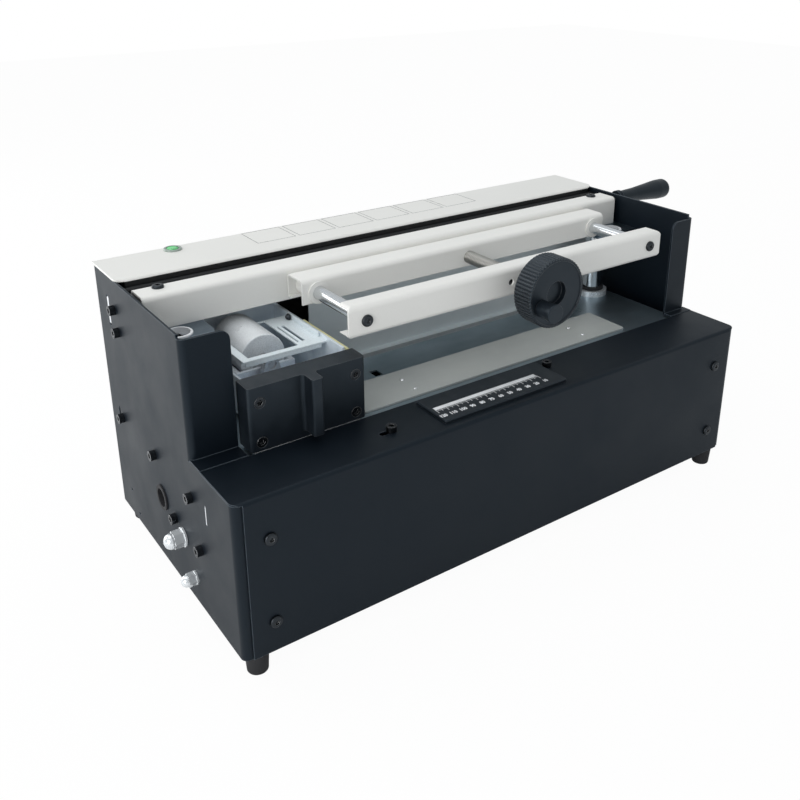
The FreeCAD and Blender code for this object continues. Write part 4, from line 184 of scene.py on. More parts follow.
class Recipe:
    """Node tree of one material, with short calls for the nodes that the finishes share."""

    def __init__(self, name: str) -> None:
        """Start a material that has a Principled shader.

        Args:
            name: name of the material.
        """
        self.material = bpy.data.materials.new(name)
        self.material.use_nodes = True
        self.tree = self.material.node_tree
        self.shader = self.tree.nodes["Principled BSDF"]
        self.places = self.node("ShaderNodeTexCoord", {}).outputs["Object"]

    def node(self, kind: str, inputs: dict, **settings) -> Node:
        """Add a node, with its inputs and attributes, to the material."""
        return add_node(self.tree, kind, inputs, **settings)

    def stretched(self, stretch: Triple) -> Socket:
        """Object coordinates scaled by a factor for each axis."""
        return self.node("ShaderNodeMapping", {"Vector": self.places, "Scale": stretch}).outputs["Vector"]

    def noise(self, grain: float, detail: float, stretch: Triple = EVEN) -> Socket:
        """Soft random pattern.

        Args:
            grain: size of one grain in metres.
            detail: number of finer layers.
            stretch: factor on the coordinates of each axis.

        Returns:
            The pattern, about 0.3 to 0.7.
        """
        inputs = {"Vector": self.stretched(stretch), "Scale": 1 / grain, "Detail": detail}
        return self.node("ShaderNodeTexNoise", inputs).outputs["Fac"]

    def cells(self, grain: float) -> Socket:
        """Distance to the nearest of scattered points, a grain apart."""
        inputs = {"Vector": self.places, "Scale": 1 / grain}
        return self.node("ShaderNodeTexVoronoi", inputs).outputs["Distance"]

    def place(self, axis: str) -> Socket:
        """Object coordinate along one axis."""
        return self.node("ShaderNodeSeparateXYZ", {0: self.places}).outputs[axis]

    def ranged(self, value: Socket, source: Span, target: Span) -> Socket:
        """Value moved from one range to another and kept inside it."""
        inputs = {"Value": value, "From Min": source[0], "From Max": source[1],
                  "To Min": target[0], "To Max": target[1]}
        return self.node("ShaderNodeMapRange", inputs).outputs["Result"]

    def maths(self, operation: str, first: object, second: object) -> Socket:
        """Result of a Math node on two values or sockets."""
        return self.node("ShaderNodeMath", {0: first, 1: second}, operation=operation).outputs[0]

    def mean(self, first: Socket, second: Socket) -> Socket:
        """Mean of two patterns."""
        halves = [self.maths("MULTIPLY", pattern, 0.5) for pattern in (first, second)]
        return self.maths("ADD", *halves)

    def scaled(self, colour: Colour, factor: Socket) -> Socket:
        """Colour made darker or lighter by a factor."""
        inputs = {0: colour, "Scale": factor}
        return self.node("ShaderNodeVectorMath", inputs, operation="SCALE").outputs[0]

    def blended(self, factor: object, first: object, second: object) -> Socket:
        """Mix of two colours or colour sockets."""
        inputs = {0: factor, 6: opaque(first), 7: opaque(second)}
        return self.node("ShaderNodeMix", inputs, data_type="RGBA").outputs[2]

    def rubbed_and_highlit(self, tone: object, rub_and_highlight: Socket, share: float) -> Socket:
        """Tone with its edges mixed with a share of white, partly abraded edges and partly painted
        highlight.
        """
        return self.blended(self.maths("MULTIPLY", rub_and_highlight, share), tone, WHITE)

    def gloss(self, pattern: Socket, roughness: float, spread: Span, span: Span = NOISE_SPAN) -> Socket:
        """Roughness that follows a pattern.

        Args:
            pattern: the pattern.
            roughness: roughness that the spread is measured from.
            spread: steps from it to the lowest and the highest roughness.
            span: range of the pattern.

        Returns:
            The roughness.
        """
        return self.ranged(pattern, span, (roughness + spread[0], roughness + spread[1]))

    def edges(self, radius: float, source: Span) -> tuple[Socket, Socket]:
        """Rounded look of sharp edges.

        Args:
            radius: radius of the rounding in metres.
            source: range of the turned-away share that becomes 0 to 1.

        Returns:
            The share of pale edge colour near an edge, partly abraded and partly painted highlight, and the
            rounded normal.
        """
        rounded = self.node("ShaderNodeBevel", {"Radius": radius}, samples=BEVEL_SAMPLES).outputs["Normal"]
        flat = self.node("ShaderNodeNewGeometry", {}).outputs["Normal"]
        facing = self.node("ShaderNodeVectorMath", {0: rounded, 1: flat}, operation="DOT_PRODUCT")
        return self.ranged(facing.outputs["Value"], (1 - source[0], 1 - source[1]), (0.0, 1.0)), rounded

    def bump(self, height: Socket, depth: float, normal: object = None) -> Socket:
        """Normal of a relief.

        Args:
            height: the relief, 0 to 1.
            depth: height of the relief in metres.
            normal: normal that it starts from.

        Returns:
            The normal.
        """
        inputs = {"Height": height, "Distance": depth, "Strength": 1.0}
        if normal is not None:
            inputs["Normal"] = normal
        return self.node("ShaderNodeBump", inputs).outputs["Normal"]

    def set(self, **inputs) -> bpy.types.Material:
        """Fill the shader's inputs, spaces written as underscores.

        Args:
            inputs: values or sockets by input.

        Returns:
            The finished material.
        """
        fill(self.shader, {key.replace("_", " "): opaque(value) for key, value in inputs.items()})
        return self.material


@dataclass(frozen=True)
class PowderCoat:
    """Textured powder coat: fine orange peel, softer patches and paler edges, partly abraded and partly
    painted highlight.

    A painted shade lip is the part in front of one Y and below one Z, painted dark as painted shade where a
    flange is in its own shade.
    """

    colour: Colour
    edge_colour: Colour
    roughness: float = 0.5
    grain: float = 0.9 * MM
    patch_grains: float = 60
    depth: float = 0.05 * MM
    edge_radius: float = 0.9 * MM
    edge_share: float = 0.6
    specular: float = 0.5
    mottle: float = 0.12
    mottle_span: Span = (0.12, 0.4)
    sheen: Colour = WHITE
    painted_shade_lip: Span | None = None

    def material(self, name: str) -> bpy.types.Material:
        """Build the coat."""
        recipe = Recipe(name)
        worn_and_highlit, rounded = recipe.edges(self.edge_radius, WEAR_AND_HIGHLIGHT_SPAN)
        patches = recipe.noise(self.patch_grains * self.grain, FILM_DETAIL)
        speckle = recipe.noise(self.grain, FINE_DETAIL)
        tone = recipe.ranged(recipe.maths("MULTIPLY", patches, speckle), self.mottle_span,
                             (1 - self.mottle, 1 + self.mottle))
        # Paler edges: partly edge wear and partly painted highlight on bends and fillets.
        wear_and_highlight = recipe.maths("MULTIPLY", worn_and_highlit, self.edge_share)
        paint = recipe.blended(wear_and_highlight, recipe.scaled(self.colour, tone), self.edge_colour)
        # Painted shade: the front lip below one height is painted dark where the flange lies in its own
        # shade.
        if self.painted_shade_lip is not None:
            front, low = self.painted_shade_lip
            lip = recipe.maths("MULTIPLY", recipe.maths("LESS_THAN", recipe.place("Y"), front),
                               recipe.maths("LESS_THAN", recipe.place("Z"), low))
            paint = recipe.blended(lip, paint, PAINTED_SHADE)
        gloss = recipe.gloss(patches, self.roughness, (-self.mottle / 2, self.mottle / 2))
        relief = recipe.bump(speckle, self.depth, rounded)
        return recipe.set(Base_Color=paint, Roughness=gloss, Normal=relief, Specular_Tint=self.sheen,
                          Specular_IOR_Level=self.specular)


@dataclass(frozen=True)
class PlatedSheet:
    """Rolled and plated sheet: cloudy patches, rolling lines and fine scratches along X.

    Above one Z the sheet may be painted black instead, as painted shade.
    """

    colour: Colour
    cloud_colour: Colour
    roughness: float = 0.3
    gloss_spread: Span = (-0.09, 0.12)
    gloss_span: Span = (0.32, 0.68)
    cloud: float = 38 * MM
    cloud_span: Span = (0.35, 0.68)
    cloud_stretch: Triple = (0.6, 1.0, 1.0)
    line: float = 0.5 * MM
    line_stretch: Triple = (0.02, 1.0, 1.0)
    depth: float = 0.003 * MM
    edge_radius: float = 0.5 * MM
    edge_share: float = 0.5
    metallic: float = 1.0
    painted_shade_above: float | None = None

    def material(self, name: str) -> bpy.types.Material:
        """Build the plated surface."""
        recipe = Recipe(name)
        rub_and_highlight, rounded = recipe.edges(self.edge_radius, RUB_AND_HIGHLIGHT_SPAN)
        clouds = recipe.noise(self.cloud, CLOUD_DETAIL, self.cloud_stretch)
        lines = recipe.noise(self.line, LINE_DETAIL, self.line_stretch)
        share = recipe.ranged(clouds, self.cloud_span, (0.0, 1.0))
        tone = recipe.blended(share, self.colour, self.cloud_colour)
        # Paler edges: partly rubbed wear and partly painted highlight.
        tone = recipe.rubbed_and_highlit(tone, rub_and_highlight, self.edge_share)
        if self.painted_shade_above is not None:
            # Painted shade: above one height the sheet is painted black where the gap under the rail lies
            # in deep shade.
            shade_above = recipe.maths("GREATER_THAN", recipe.place("Z"), self.painted_shade_above)
            tone = recipe.blended(shade_above, tone, PAINTED_SHADE)
        mixed = recipe.mean(clouds, lines)
        gloss = recipe.gloss(mixed, self.roughness, self.gloss_spread, self.gloss_span)
        relief = recipe.bump(lines, self.depth, rounded)
        return recipe.set(Base_Color=tone, Roughness=gloss, Normal=relief, Metallic=self.metallic)


@dataclass(frozen=True)
class TurnedMetal:
    """Turned, ground or plated round stock: faint rings, a tone soiled in patches and softened edges
    painted paler, partly abraded and partly painted highlight.
    """

    colour: Colour
    roughness: float = 0.25
    gloss_shares: Span = (0.75, 1.35)
    ring: float = 0.35 * MM
    depth: float = 0.006 * MM
    edge_radius: float = 0.4 * MM
    edge_share: float = 0.35
    film: float = 9 * MM
    film_span: Span = (0.45, 0.75)
    soil: float = 0.25
    soil_tone: float = 0.62

    def material(self, name: str) -> bpy.types.Material:
        """Build the metal."""
        recipe = Recipe(name)
        rub_and_highlight, rounded = recipe.edges(self.edge_radius, RUB_AND_HIGHLIGHT_SPAN)
        rings = recipe.noise(self.ring, FINE_DETAIL)
        film = recipe.noise(self.film, FILM_DETAIL)
        share = recipe.ranged(film, self.film_span, (0.0, self.soil))
        tone = recipe.blended(share, self.colour, toned(self.colour, self.soil_tone))
        # Paler edges: partly rubbed wear and partly painted highlight.
        tone = recipe.rubbed_and_highlit(tone, rub_and_highlight, self.edge_share)
        limits = tuple(self.roughness * part for part in self.gloss_shares)
        gloss = recipe.ranged(film, NOISE_SPAN, limits)
        relief = recipe.bump(rings, self.depth, rounded)
        return recipe.set(Base_Color=tone, Roughness=gloss, Normal=relief, Metallic=1.0)


@dataclass(frozen=True)
class ThreadedRod:
    """Rolled screw thread along Y on bare steel, dull with a trace of grease, its thread hollows painted
    darker as painted shade.
    """

    colour: Colour
    pitch: float = 2.0 * MM
    depth: float = 0.45 * MM
    groove_span: Span = (0.1, 0.6)
    groove_shade_share: float = 0.75
    groove_shade_tone: float = 0.35
    roughness: float = 0.34
    gloss_spread: Span = (-0.06, 0.12)
    film: float = 7 * MM

    def material(self, name: str) -> bpy.types.Material:
        """Build the threaded steel."""
        recipe = Recipe(name)
        inputs = {"Vector": recipe.places, "Scale": WAVE_STEP / self.pitch}
        waves = recipe.node("ShaderNodeTexWave", inputs, bands_direction="Y", wave_profile="TRI")
        wave = waves.outputs["Fac"]
        film = recipe.noise(self.film, FILM_DETAIL)
        # Painted shade: the thread's hollows are painted darker than its crests.
        groove_shade = recipe.ranged(wave, self.groove_span, (self.groove_shade_share, 0.0))
        tone = recipe.blended(groove_shade, self.colour, toned(self.colour, self.groove_shade_tone))
        gloss = recipe.gloss(film, self.roughness, self.gloss_spread)
        relief = recipe.bump(wave, self.depth)
        return recipe.set(Base_Color=tone, Roughness=gloss, Normal=relief, Metallic=1.0)


@dataclass(frozen=True)
class MouldedPlastic:
    """Moulded plastic: fine spark-eroded grain, scuffs and softened edges painted paler, partly abraded and
    partly painted highlight.
    """

    colour: Colour
    roughness: float = 0.42
    gloss_spread: Span = (-0.08, 0.1)
    grain: float = 0.6 * MM
    depth: float = 0.02 * MM
    scuff: float = 14 * MM
    scuff_stretch: Triple = (1.0, 0.35, 1.0)
    scuff_tones: Span = (0.9, 1.1)
    edge_radius: float = 0.7 * MM
    edge_tone: float = 1.5
    edge_lift: float = 0.02
    coat: float = 0.0
    sheen: Colour = WHITE

    def material(self, name: str) -> bpy.types.Material:
        """Build the plastic."""
        recipe = Recipe(name)
        worn_and_highlit, rounded = recipe.edges(self.edge_radius, WEAR_AND_HIGHLIGHT_SPAN)
        grain = recipe.noise(self.grain, FINE_DETAIL)
        scuffs = recipe.noise(self.scuff, SCUFF_DETAIL, self.scuff_stretch)
        tone = recipe.ranged(scuffs, NOISE_SPAN, self.scuff_tones)
        # Paler edges: partly wear and partly painted highlight on rims and fillets.
        pale = tuple(min(part * self.edge_tone + self.edge_lift, 1.0) for part in self.colour)
        paint = recipe.blended(worn_and_highlit, recipe.scaled(self.colour, tone), pale)
        gloss = recipe.gloss(scuffs, self.roughness, self.gloss_spread)
        relief = recipe.bump(grain, self.depth, rounded)
        return recipe.set(Base_Color=paint, Roughness=gloss, Normal=relief, Specular_Tint=self.sheen,
                          Coat_Weight=self.coat)


@dataclass(frozen=True)
class CastAlloy:
    """Cast and lightly etched alloy with a fine dimpled skin."""

    colour: Colour
    roughness: float = 0.34
    gloss_spread: Span = (-0.06, 0.12)
    dimple: float = 1.1 * MM
    dimple_span: Span = (0.1, 0.6)
    depth: float = 0.08 * MM
    edge_radius: float = 0.6 * MM
    edge_share: float = 0.6
    film: float = 16 * MM
    film_span: Span = (0.4, 0.7)
    film_share: float = 0.3
    dark_tone: float = 0.7
    metallic: float = 0.75
    contrast: float = 0.45

    def material(self, name: str) -> bpy.types.Material:
        """Build the alloy."""
        recipe = Recipe(name)
        rub_and_highlight, rounded = recipe.edges(self.edge_radius, RUB_AND_HIGHLIGHT_SPAN)
        dimples = recipe.cells(self.dimple)
        film = recipe.noise(self.film, FILM_DETAIL)
        dark = toned(self.colour, self.dark_tone)
        pits = recipe.ranged(dimples, self.dimple_span, (self.contrast, 0.0))
        tone = recipe.blended(pits, self.colour, dark)
        tone = recipe.blended(recipe.ranged(film, self.film_span, (0.0, self.film_share)), tone, dark)
        # Paler edges: partly rubbed wear and partly painted highlight.
        tone = recipe.rubbed_and_highlit(tone, rub_and_highlight, self.edge_share)
        gloss = recipe.gloss(film, self.roughness, self.gloss_spread)
        relief = recipe.bump(dimples, self.depth, rounded)
        return recipe.set(Base_Color=tone, Roughness=gloss, Normal=relief, Metallic=self.metallic)


IVORY = PowderCoat((0.83, 0.82, 0.785), (0.96, 0.96, 0.94), roughness=0.4, grain=1.0 * MM, depth=0.006 * MM,
                   edge_radius=0.8 * MM, edge_share=0.5, specular=0.4, mottle=0.015)
GREY_ZINC = PlatedSheet((0.86, 0.92, 0.94), (0.76, 0.83, 0.86), roughness=0.5, metallic=0.1)
BRIGHT_NUT = PlatedSheet((0.92, 0.94, 0.95), (0.8, 0.83, 0.85), roughness=0.14, cloud=9 * MM,
                         edge_radius=0.25 * MM, metallic=0.6)

FINISHES = {
    # Pale edge colours paint edges lighter, partly wear and partly painted highlight; on the black case
    # mostly painted highlight on the bends.
    Slot.BLACK_CASE: PowderCoat((0.0034, 0.006, 0.0098), (0.2, 0.24, 0.28), roughness=0.46,
                                edge_share=0.85, specular=0.29, sheen=COOL),
    Slot.IVORY_COAT: IVORY,
    Slot.ZINC_SHEET: PlatedSheet((0.66, 0.7, 0.73), (0.5, 0.55, 0.59), roughness=0.36),
    Slot.DARK_ZINC: PlatedSheet((0.42, 0.5, 0.55), (0.3, 0.38, 0.43), roughness=0.34),
    Slot.STEEL: TurnedMetal((0.56, 0.56, 0.57)),
    Slot.CHROME_BAR: TurnedMetal((0.74, 0.76, 0.78), roughness=0.18, soil=0.12),
    Slot.BLACK_STEEL: TurnedMetal((0.045, 0.05, 0.056), roughness=0.3),
    Slot.CAST_ALLOY: CastAlloy((0.84, 0.88, 0.93), metallic=0.4),
    Slot.BRASS_NUT: TurnedMetal((0.7, 0.52, 0.24), roughness=0.28),
    # Edge lifts of the plastics paint pale edges, partly wear and mostly painted highlight on the knob and
    # rocker rims.
    Slot.BLACK_PLASTIC: MouldedPlastic((0.0058, 0.0082, 0.0116), edge_tone=1.0, edge_lift=0.17, sheen=COOL),
    Slot.WHITE_PLASTIC: MouldedPlastic((0.82, 0.83, 0.85), roughness=0.35, edge_tone=1.1),
    Slot.YELLOW_PLASTIC: MouldedPlastic((0.8, 0.76, 0.4), roughness=0.4, edge_tone=1.1),
    Slot.GREEN_PLASTIC: MouldedPlastic((0.16, 0.78, 0.26), roughness=0.16, coat=0.8, edge_tone=1.3,
                                       edge_lift=0.3),
    Slot.BOARD_GREEN: MouldedPlastic((0.03, 0.2, 0.08), roughness=0.3, coat=0.4),
    Slot.RUBBER: MouldedPlastic((0.014, 0.014, 0.016), roughness=0.72, grain=1.0 * MM, depth=0.06 * MM),
}

NODE_FINISHES = {
    # The rear wall is painted black above 205 mm as painted shade in the deep gap under the rail.
    "rear_wall": replace(GREY_ZINC, painted_shade_above=205 * MM),
    "rear_guide_bar": GREY_ZINC,
    # The top cover's front lip below 252.9 mm is painted dark as painted shade.
    "top_cover": replace(IVORY, colour=(0.8, 0.79, 0.755), edge_colour=(0.94, 0.94, 0.91),
                         edge_radius=0.6 * MM, painted_shade_lip=(75.2 * MM, 252.9 * MM)),
    "switch_body": MouldedPlastic((0.3, 0.36, 0.32), roughness=0.2, coat=0.5, edge_tone=1.3),
    "lever_grip": MouldedPlastic((0.0025, 0.004, 0.0056), roughness=0.34, edge_tone=1.0, edge_lift=0.05,
                                 sheen=COOL),
    "jaw_bushes": replace(IVORY, edge_radius=0.5 * MM),
    "screw_nut": TurnedMetal((0.02, 0.021, 0.024), roughness=0.36),
    "column_flanges": PlatedSheet((0.88, 0.91, 0.93), (0.72, 0.76, 0.8), roughness=0.22, cloud=9 * MM,
                                  metallic=0.5),
    "lead_screw": ThreadedRod((0.5, 0.49, 0.46)),
    "rail_brackets": PlatedSheet((0.2, 0.25, 0.3), (0.12, 0.16, 0.2), roughness=0.34),
    "cover_plate": PlatedSheet((0.52, 0.54, 0.52), (0.46, 0.48, 0.47), roughness=0.46, metallic=0.35),
    "shaft_nut": BRIGHT_NUT,
    "frame_nuts": BRIGHT_NUT,
    "scraper_frame": PowderCoat((0.76, 0.83, 0.86), (0.95, 0.97, 0.98), roughness=0.32, grain=1.4 * MM,
                                depth=0.01 * MM, edge_radius=0.7 * MM, edge_share=0.7, mottle=0.08),
    "carriage_pan": PlatedSheet((0.86, 0.93, 0.98), (0.62, 0.7, 0.77), roughness=0.34, cloud=24 * MM,
                                metallic=0.2),
    "glue_roller": CastAlloy((0.93, 0.96, 0.98), roughness=0.32, dimple=1.2 * MM, depth=0.1 * MM,
                             metallic=0.25, contrast=0.6),
}


class Paint:
    """Finished materials by slot and by node, each built once."""

    def __init__(self) -> None:
        """Build every finish."""
        self.by_slot = {slot: finish.material(slot.value) for slot, finish in FINISHES.items()}
        self.by_node = {node: finish.material(node + "_finish") for node, finish in NODE_FINISHES.items()}

    def dress_nodes(self) -> int:
        """Give every CAD node its own finish, or else that of its slot.

        Returns:
            The number of nodes.
        """
        rows = frame["record"]["subparts"]
        for row in rows:
            finish = self.by_node.get(row["node"], self.by_slot[Slot(row["material_slot"])])
            for holder in frame["nodes"][row["node"]].material_slots:
                holder.material = finish
        return len(rows)


class Workpiece:
    """Mesh of one new piece, built up with bmesh operators."""

    def __init__(self) -> None:
        """Start with an empty mesh."""
        self.mesh = bmesh.new()

    def block(self, low: Vector, high: Vector, radius: float = 0.0) -> None:
        """Add a box between two corners, with rounded edges if a radius is given."""
        place = Matrix.Translation((low + high) / 2) @ Matrix.Diagonal((*(high - low), 1.0))
        made = bmesh.ops.create_cube(self.mesh, size=1.0, matrix=place)
        if radius > 0:
            edges = list(dict.fromkeys(edge for corner in made["verts"] for edge in corner.link_edges))
            bmesh.ops.bevel(self.mesh, geom=edges, offset=radius, segments=ROUND_SEGMENTS, affect="EDGES",
                            profile=0.5, material=-1, clamp_overlap=True)

    def sheet(self, low: Vector, high: Vector, windows: list[tuple[float, float, float, float]]) -> None:
        """Add a flat sheet with rectangular windows.

        Args:
            low: lowest corner.
            high: highest corner.
            windows: openings, each as lowest X, lowest Y, highest X and highest Y.
        """
        part = bmesh.new()
        middle, size = (low + high) / 2, high - low
        place = Matrix.Translation((middle.x, middle.y, high.z)) @ Matrix.Diagonal((*size.xy, 1.0, 1.0))
        bmesh.ops.create_grid(part, x_segments=1, y_segments=1, size=0.5, matrix=place)
        for west, south, east, north in windows:
            for cut, across in ((west, EAST), (east, EAST), (south, NORTH), (north, NORTH)):
                everything = [*part.verts, *part.edges, *part.faces]
                bmesh.ops.bisect_plane(part, geom=everything, plane_co=across * cut, plane_no=across)
        for west, south, east, north in windows:
            spots = {face: face.calc_center_bounds() for face in part.faces}
            inside = [face for face, spot in spots.items()
                      if west < spot.x < east and south < spot.y < north]
            bmesh.ops.delete(part, geom=inside, context="FACES")
        made = bmesh.ops.extrude_face_region(part, geom=part.faces[:])["geom"]
        moved = [item for item in made if isinstance(item, bmesh.types.BMVert)]
        bmesh.ops.translate(part, vec=-UP * size.z, verts=moved)
        data = bpy.data.meshes.new("sheet")
        part.to_mesh(data)
        part.free()
        self.taken(data, Matrix.Identity(4))
        bpy.data.meshes.remove(data)

    def turned(self, centre: Vector, axis: Vector, profile: list[Span], steps: int) -> None:
        """Add a solid of revolution.

        Args:
            centre: point on the axis.
            axis: direction of the axis.
            profile: radius and place along the axis of each corner, from one end of the axis to the other.
            steps: number of segments round the axis.
        """
        side = axis.orthogonal().normalized()
        corners = [self.mesh.verts.new(centre + side * radius + axis * place) for radius, place in profile]
        runs = [self.mesh.edges.new(pair) for pair in zip(corners, corners[1:])]
        before = set(self.mesh.faces)
        bmesh.ops.spin(self.mesh, geom=corners + runs, cent=centre, axis=axis, angle=math.tau, steps=steps,
                       use_merge=True)
        made = [face for face in self.mesh.faces if face not in before]
        spots = list(dict.fromkeys(corner for face in made for corner in face.verts))
        bmesh.ops.remove_doubles(self.mesh, verts=spots, dist=MERGE_DISTANCE)

    def taken(self, source: bpy.types.Mesh, place: Matrix) -> None:
        """Add a ready mesh at a place."""
        before = len(self.mesh.verts)
        self.mesh.from_mesh(source)
        self.mesh.verts.ensure_lookup_table()
        bmesh.ops.transform(self.mesh, matrix=place, verts=self.mesh.verts[before:])

    def finish(self, name: str, body: Body, slot: Slot, paint: Paint, node: str = "") -> bpy.types.Object:
        """Turn the mesh into an object that rides on a body.

        Args:
            name: name of the piece.
            body: body that it moves with.
            slot: material slot of its finish.
            paint: the finishes.
            node: node whose own finish it has in place of the slot's.

        Returns:
            The object, at the origin.
        """
        bmesh.ops.recalc_face_normals(self.mesh, faces=self.mesh.faces)
        for face in self.mesh.faces:
            face.smooth = True
        for edge in self.mesh.edges:
            edge.smooth = len(edge.link_faces) == 2 and edge.calc_face_angle() < SMOOTH_ANGLE
        data = bpy.data.meshes.new(name)
        self.mesh.to_mesh(data)
        self.mesh.free()
        data.materials.append(paint.by_node.get(node, paint.by_slot[slot]))
        piece = bpy.data.objects.new(name, data)
        bpy.context.scene.collection.objects.link(piece)
        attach(piece, body.value)
        return piece


@dataclass(frozen=True)
class RulerMarks:
    """White scale printed in the bed of the ruler plate, with plain numbers every 10 mm."""

    inset_x: float = 3.6 * MM
    inset_y: float = 19.3 * MM
    band: float = 4.1 * MM
    band_gap: float = 0.2 * MM
    band_radius: float = 0.1 * MM
    height: float = 0.45 * MM
    bed_depth: float = 0.5 * MM
    pitch: float = 10 * MM
    count: int = 12
    ticks: int = 10
    long_tick: float = 5.6 * MM
    half_tick: float = 4.2 * MM
    short_tick: float = 2.6 * MM
    tick_gap: float = 0.1 * MM
    tick_width: float = 0.6 * MM
    short_width: float = 0.55
    print_height: float = 0.06 * MM
    number_size: float = 5.4 * MM
    number_bold: float = 0.26 * MM
    number_narrow: float = 0.88
    number_gap: float = 13.0 * MM
    number_steps: int = 2

    def build(self, paint: Paint) -> bpy.types.Object:
        """Build the strip, its ticks and its numbers as one piece."""
        low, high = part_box("ruler_plate")
        start = Vector((low.x + self.inset_x, low.y + self.inset_y, high.z))
        work = Workpiece()
        length = self.pitch * (self.count - 1) - self.band_gap
        base = start - UP * self.bed_depth
        work.block(base, base + Vector((length, self.band, self.height)), self.band_radius)
        half = self.ticks // 2
        for i in range(self.ticks * (self.count - 1) + 1):
            reach, width = self.short_tick, self.tick_width * self.short_width
            if i % half == 0:
                reach = self.half_tick if i % self.ticks else self.long_tick
                width = self.tick_width
            x = start.x + i * self.pitch / self.ticks
            work.block(Vector((x - width / 2, start.y - reach, start.z)),
                       Vector((x + width / 2, start.y - self.tick_gap, start.z + self.print_height)))
        for i in range(self.count):
            source = self.number_mesh(str(self.ticks * (self.count - i)))
            place = Vector((start.x + i * self.pitch, start.y - self.number_gap, start.z))
            work.taken(source, Matrix.Translation(place))
            bpy.data.meshes.remove(source)
        return work.finish("ruler_marks", Body.FRAME, Slot.WHITE_PLASTIC, paint)

    def number_mesh(self, words: str) -> bpy.types.Mesh:
        """Flat number as a mesh, centred on its own origin.

        Args:
            words: the digits.

        Returns:
            The mesh.
        """
        curve = bpy.data.curves.new("number", "FONT")
        curve.body = words
        curve.size = self.number_size
        curve.align_x = "CENTER"
        curve.offset = self.number_bold
        curve.extrude = self.print_height / 2
        curve.resolution_u = self.number_steps
        holder = bpy.data.objects.new("number", curve)
        made = bpy.data.meshes.new_from_object(holder)
        bpy.data.objects.remove(holder)
        bpy.data.curves.remove(curve)
        lift = Matrix.Translation((0, 0, self.print_height / 2))
        made.transform(lift @ Matrix.Diagonal((self.number_narrow, 1.0, 1.0, 1.0)))
        return made


@dataclass(frozen=True)
class CoverPanels:
    """Six plain outlined panels printed on the top cover."""

    first_x: float = 139 * MM
    pitch: float = 43 * MM
    width: float = 39 * MM
    near: float = 24 * MM
    far: float = 60 * MM
    line: float = 0.5 * MM
    height: float = 0.05 * MM
    count: int = 6

    def build(self, paint: Paint) -> bpy.types.Object:
        """Build the outlines as one piece."""
        low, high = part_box("top_cover")
        work = Workpiece()
        for i in range(self.count):
            left = low.x + self.first_x + i * self.pitch
            right = left + self.width
            near, far = low.y + self.near, low.y + self.far
            sides = (((left, near), (right, near + self.line)), ((left, far - self.line), (right, far)),
                     ((left, near), (left + self.line, far)), ((right - self.line, near), (right, far)))
            for start, end in sides:
                work.block(Vector((*start, high.z)), Vector((*end, high.z + self.height)))
        return work.finish("cover_panels", Body.FRAME, Slot.BLACK_STEEL, paint)


@dataclass(frozen=True)
class PlateStuds:
    """Bright heads of the studs that hold the cover plate on the table, in pairs."""

    places_x: Span = (-100.05 * MM, 100.45 * MM)
    places_y: Span = (-57.65 * MM, -37.65 * MM)
    radius: float = 1.9 * MM
    rise: float = 0.5 * MM
    flat_share: float = 0.6
    steps: int = 20

    def build(self, paint: Paint) -> bpy.types.Object:
        """Build the heads as one piece."""
        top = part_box("cover_plate")[1].z
        work = Workpiece()
        profile = [(0.0, -self.rise), (self.radius, -self.rise), (self.radius, 0.0),
                   (self.radius * self.flat_share, self.rise), (0.0, self.rise)]
        for x in self.places_x:
            for y in self.places_y:
                work.turned(Vector((x, y, top)), UP, profile, self.steps)
        return work.finish("plate_studs", Body.TABLE, Slot.CHROME_BAR, paint, "frame_nuts")


@dataclass(frozen=True)
class Liner:
    """Place of the middle of one liner, and its size."""

    y: float
    z: float
    height: float
    width: float


@dataclass(frozen=True)
class SlotLiners:
    """White liners that show inside the upright slots of the left side plate."""

    liners: tuple[Liner, ...] = (Liner(100.2 * MM, 221.2 * MM, 24.0 * MM, 3.6 * MM),
                                 Liner(-82.15 * MM, 118.0 * MM, 16.0 * MM, 1.9 * MM))
    inset: float = 0.1 * MM
    depth: float = 1.0 * MM
    edge_radius: float = 0.3 * MM

    def build(self, paint: Paint) -> bpy.types.Object:
        """Build the liners as one piece."""
        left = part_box("left_side_plate")[0].x
        work = Workpiece()
        for liner in self.liners:
            low = Vector((left + self.inset, liner.y - liner.width / 2, liner.z - liner.height / 2))
            work.block(low, low + Vector((self.depth, liner.width, liner.height)), self.edge_radius)
        return work.finish("slot_liners", Body.FRAME, Slot.WHITE_PLASTIC, paint)


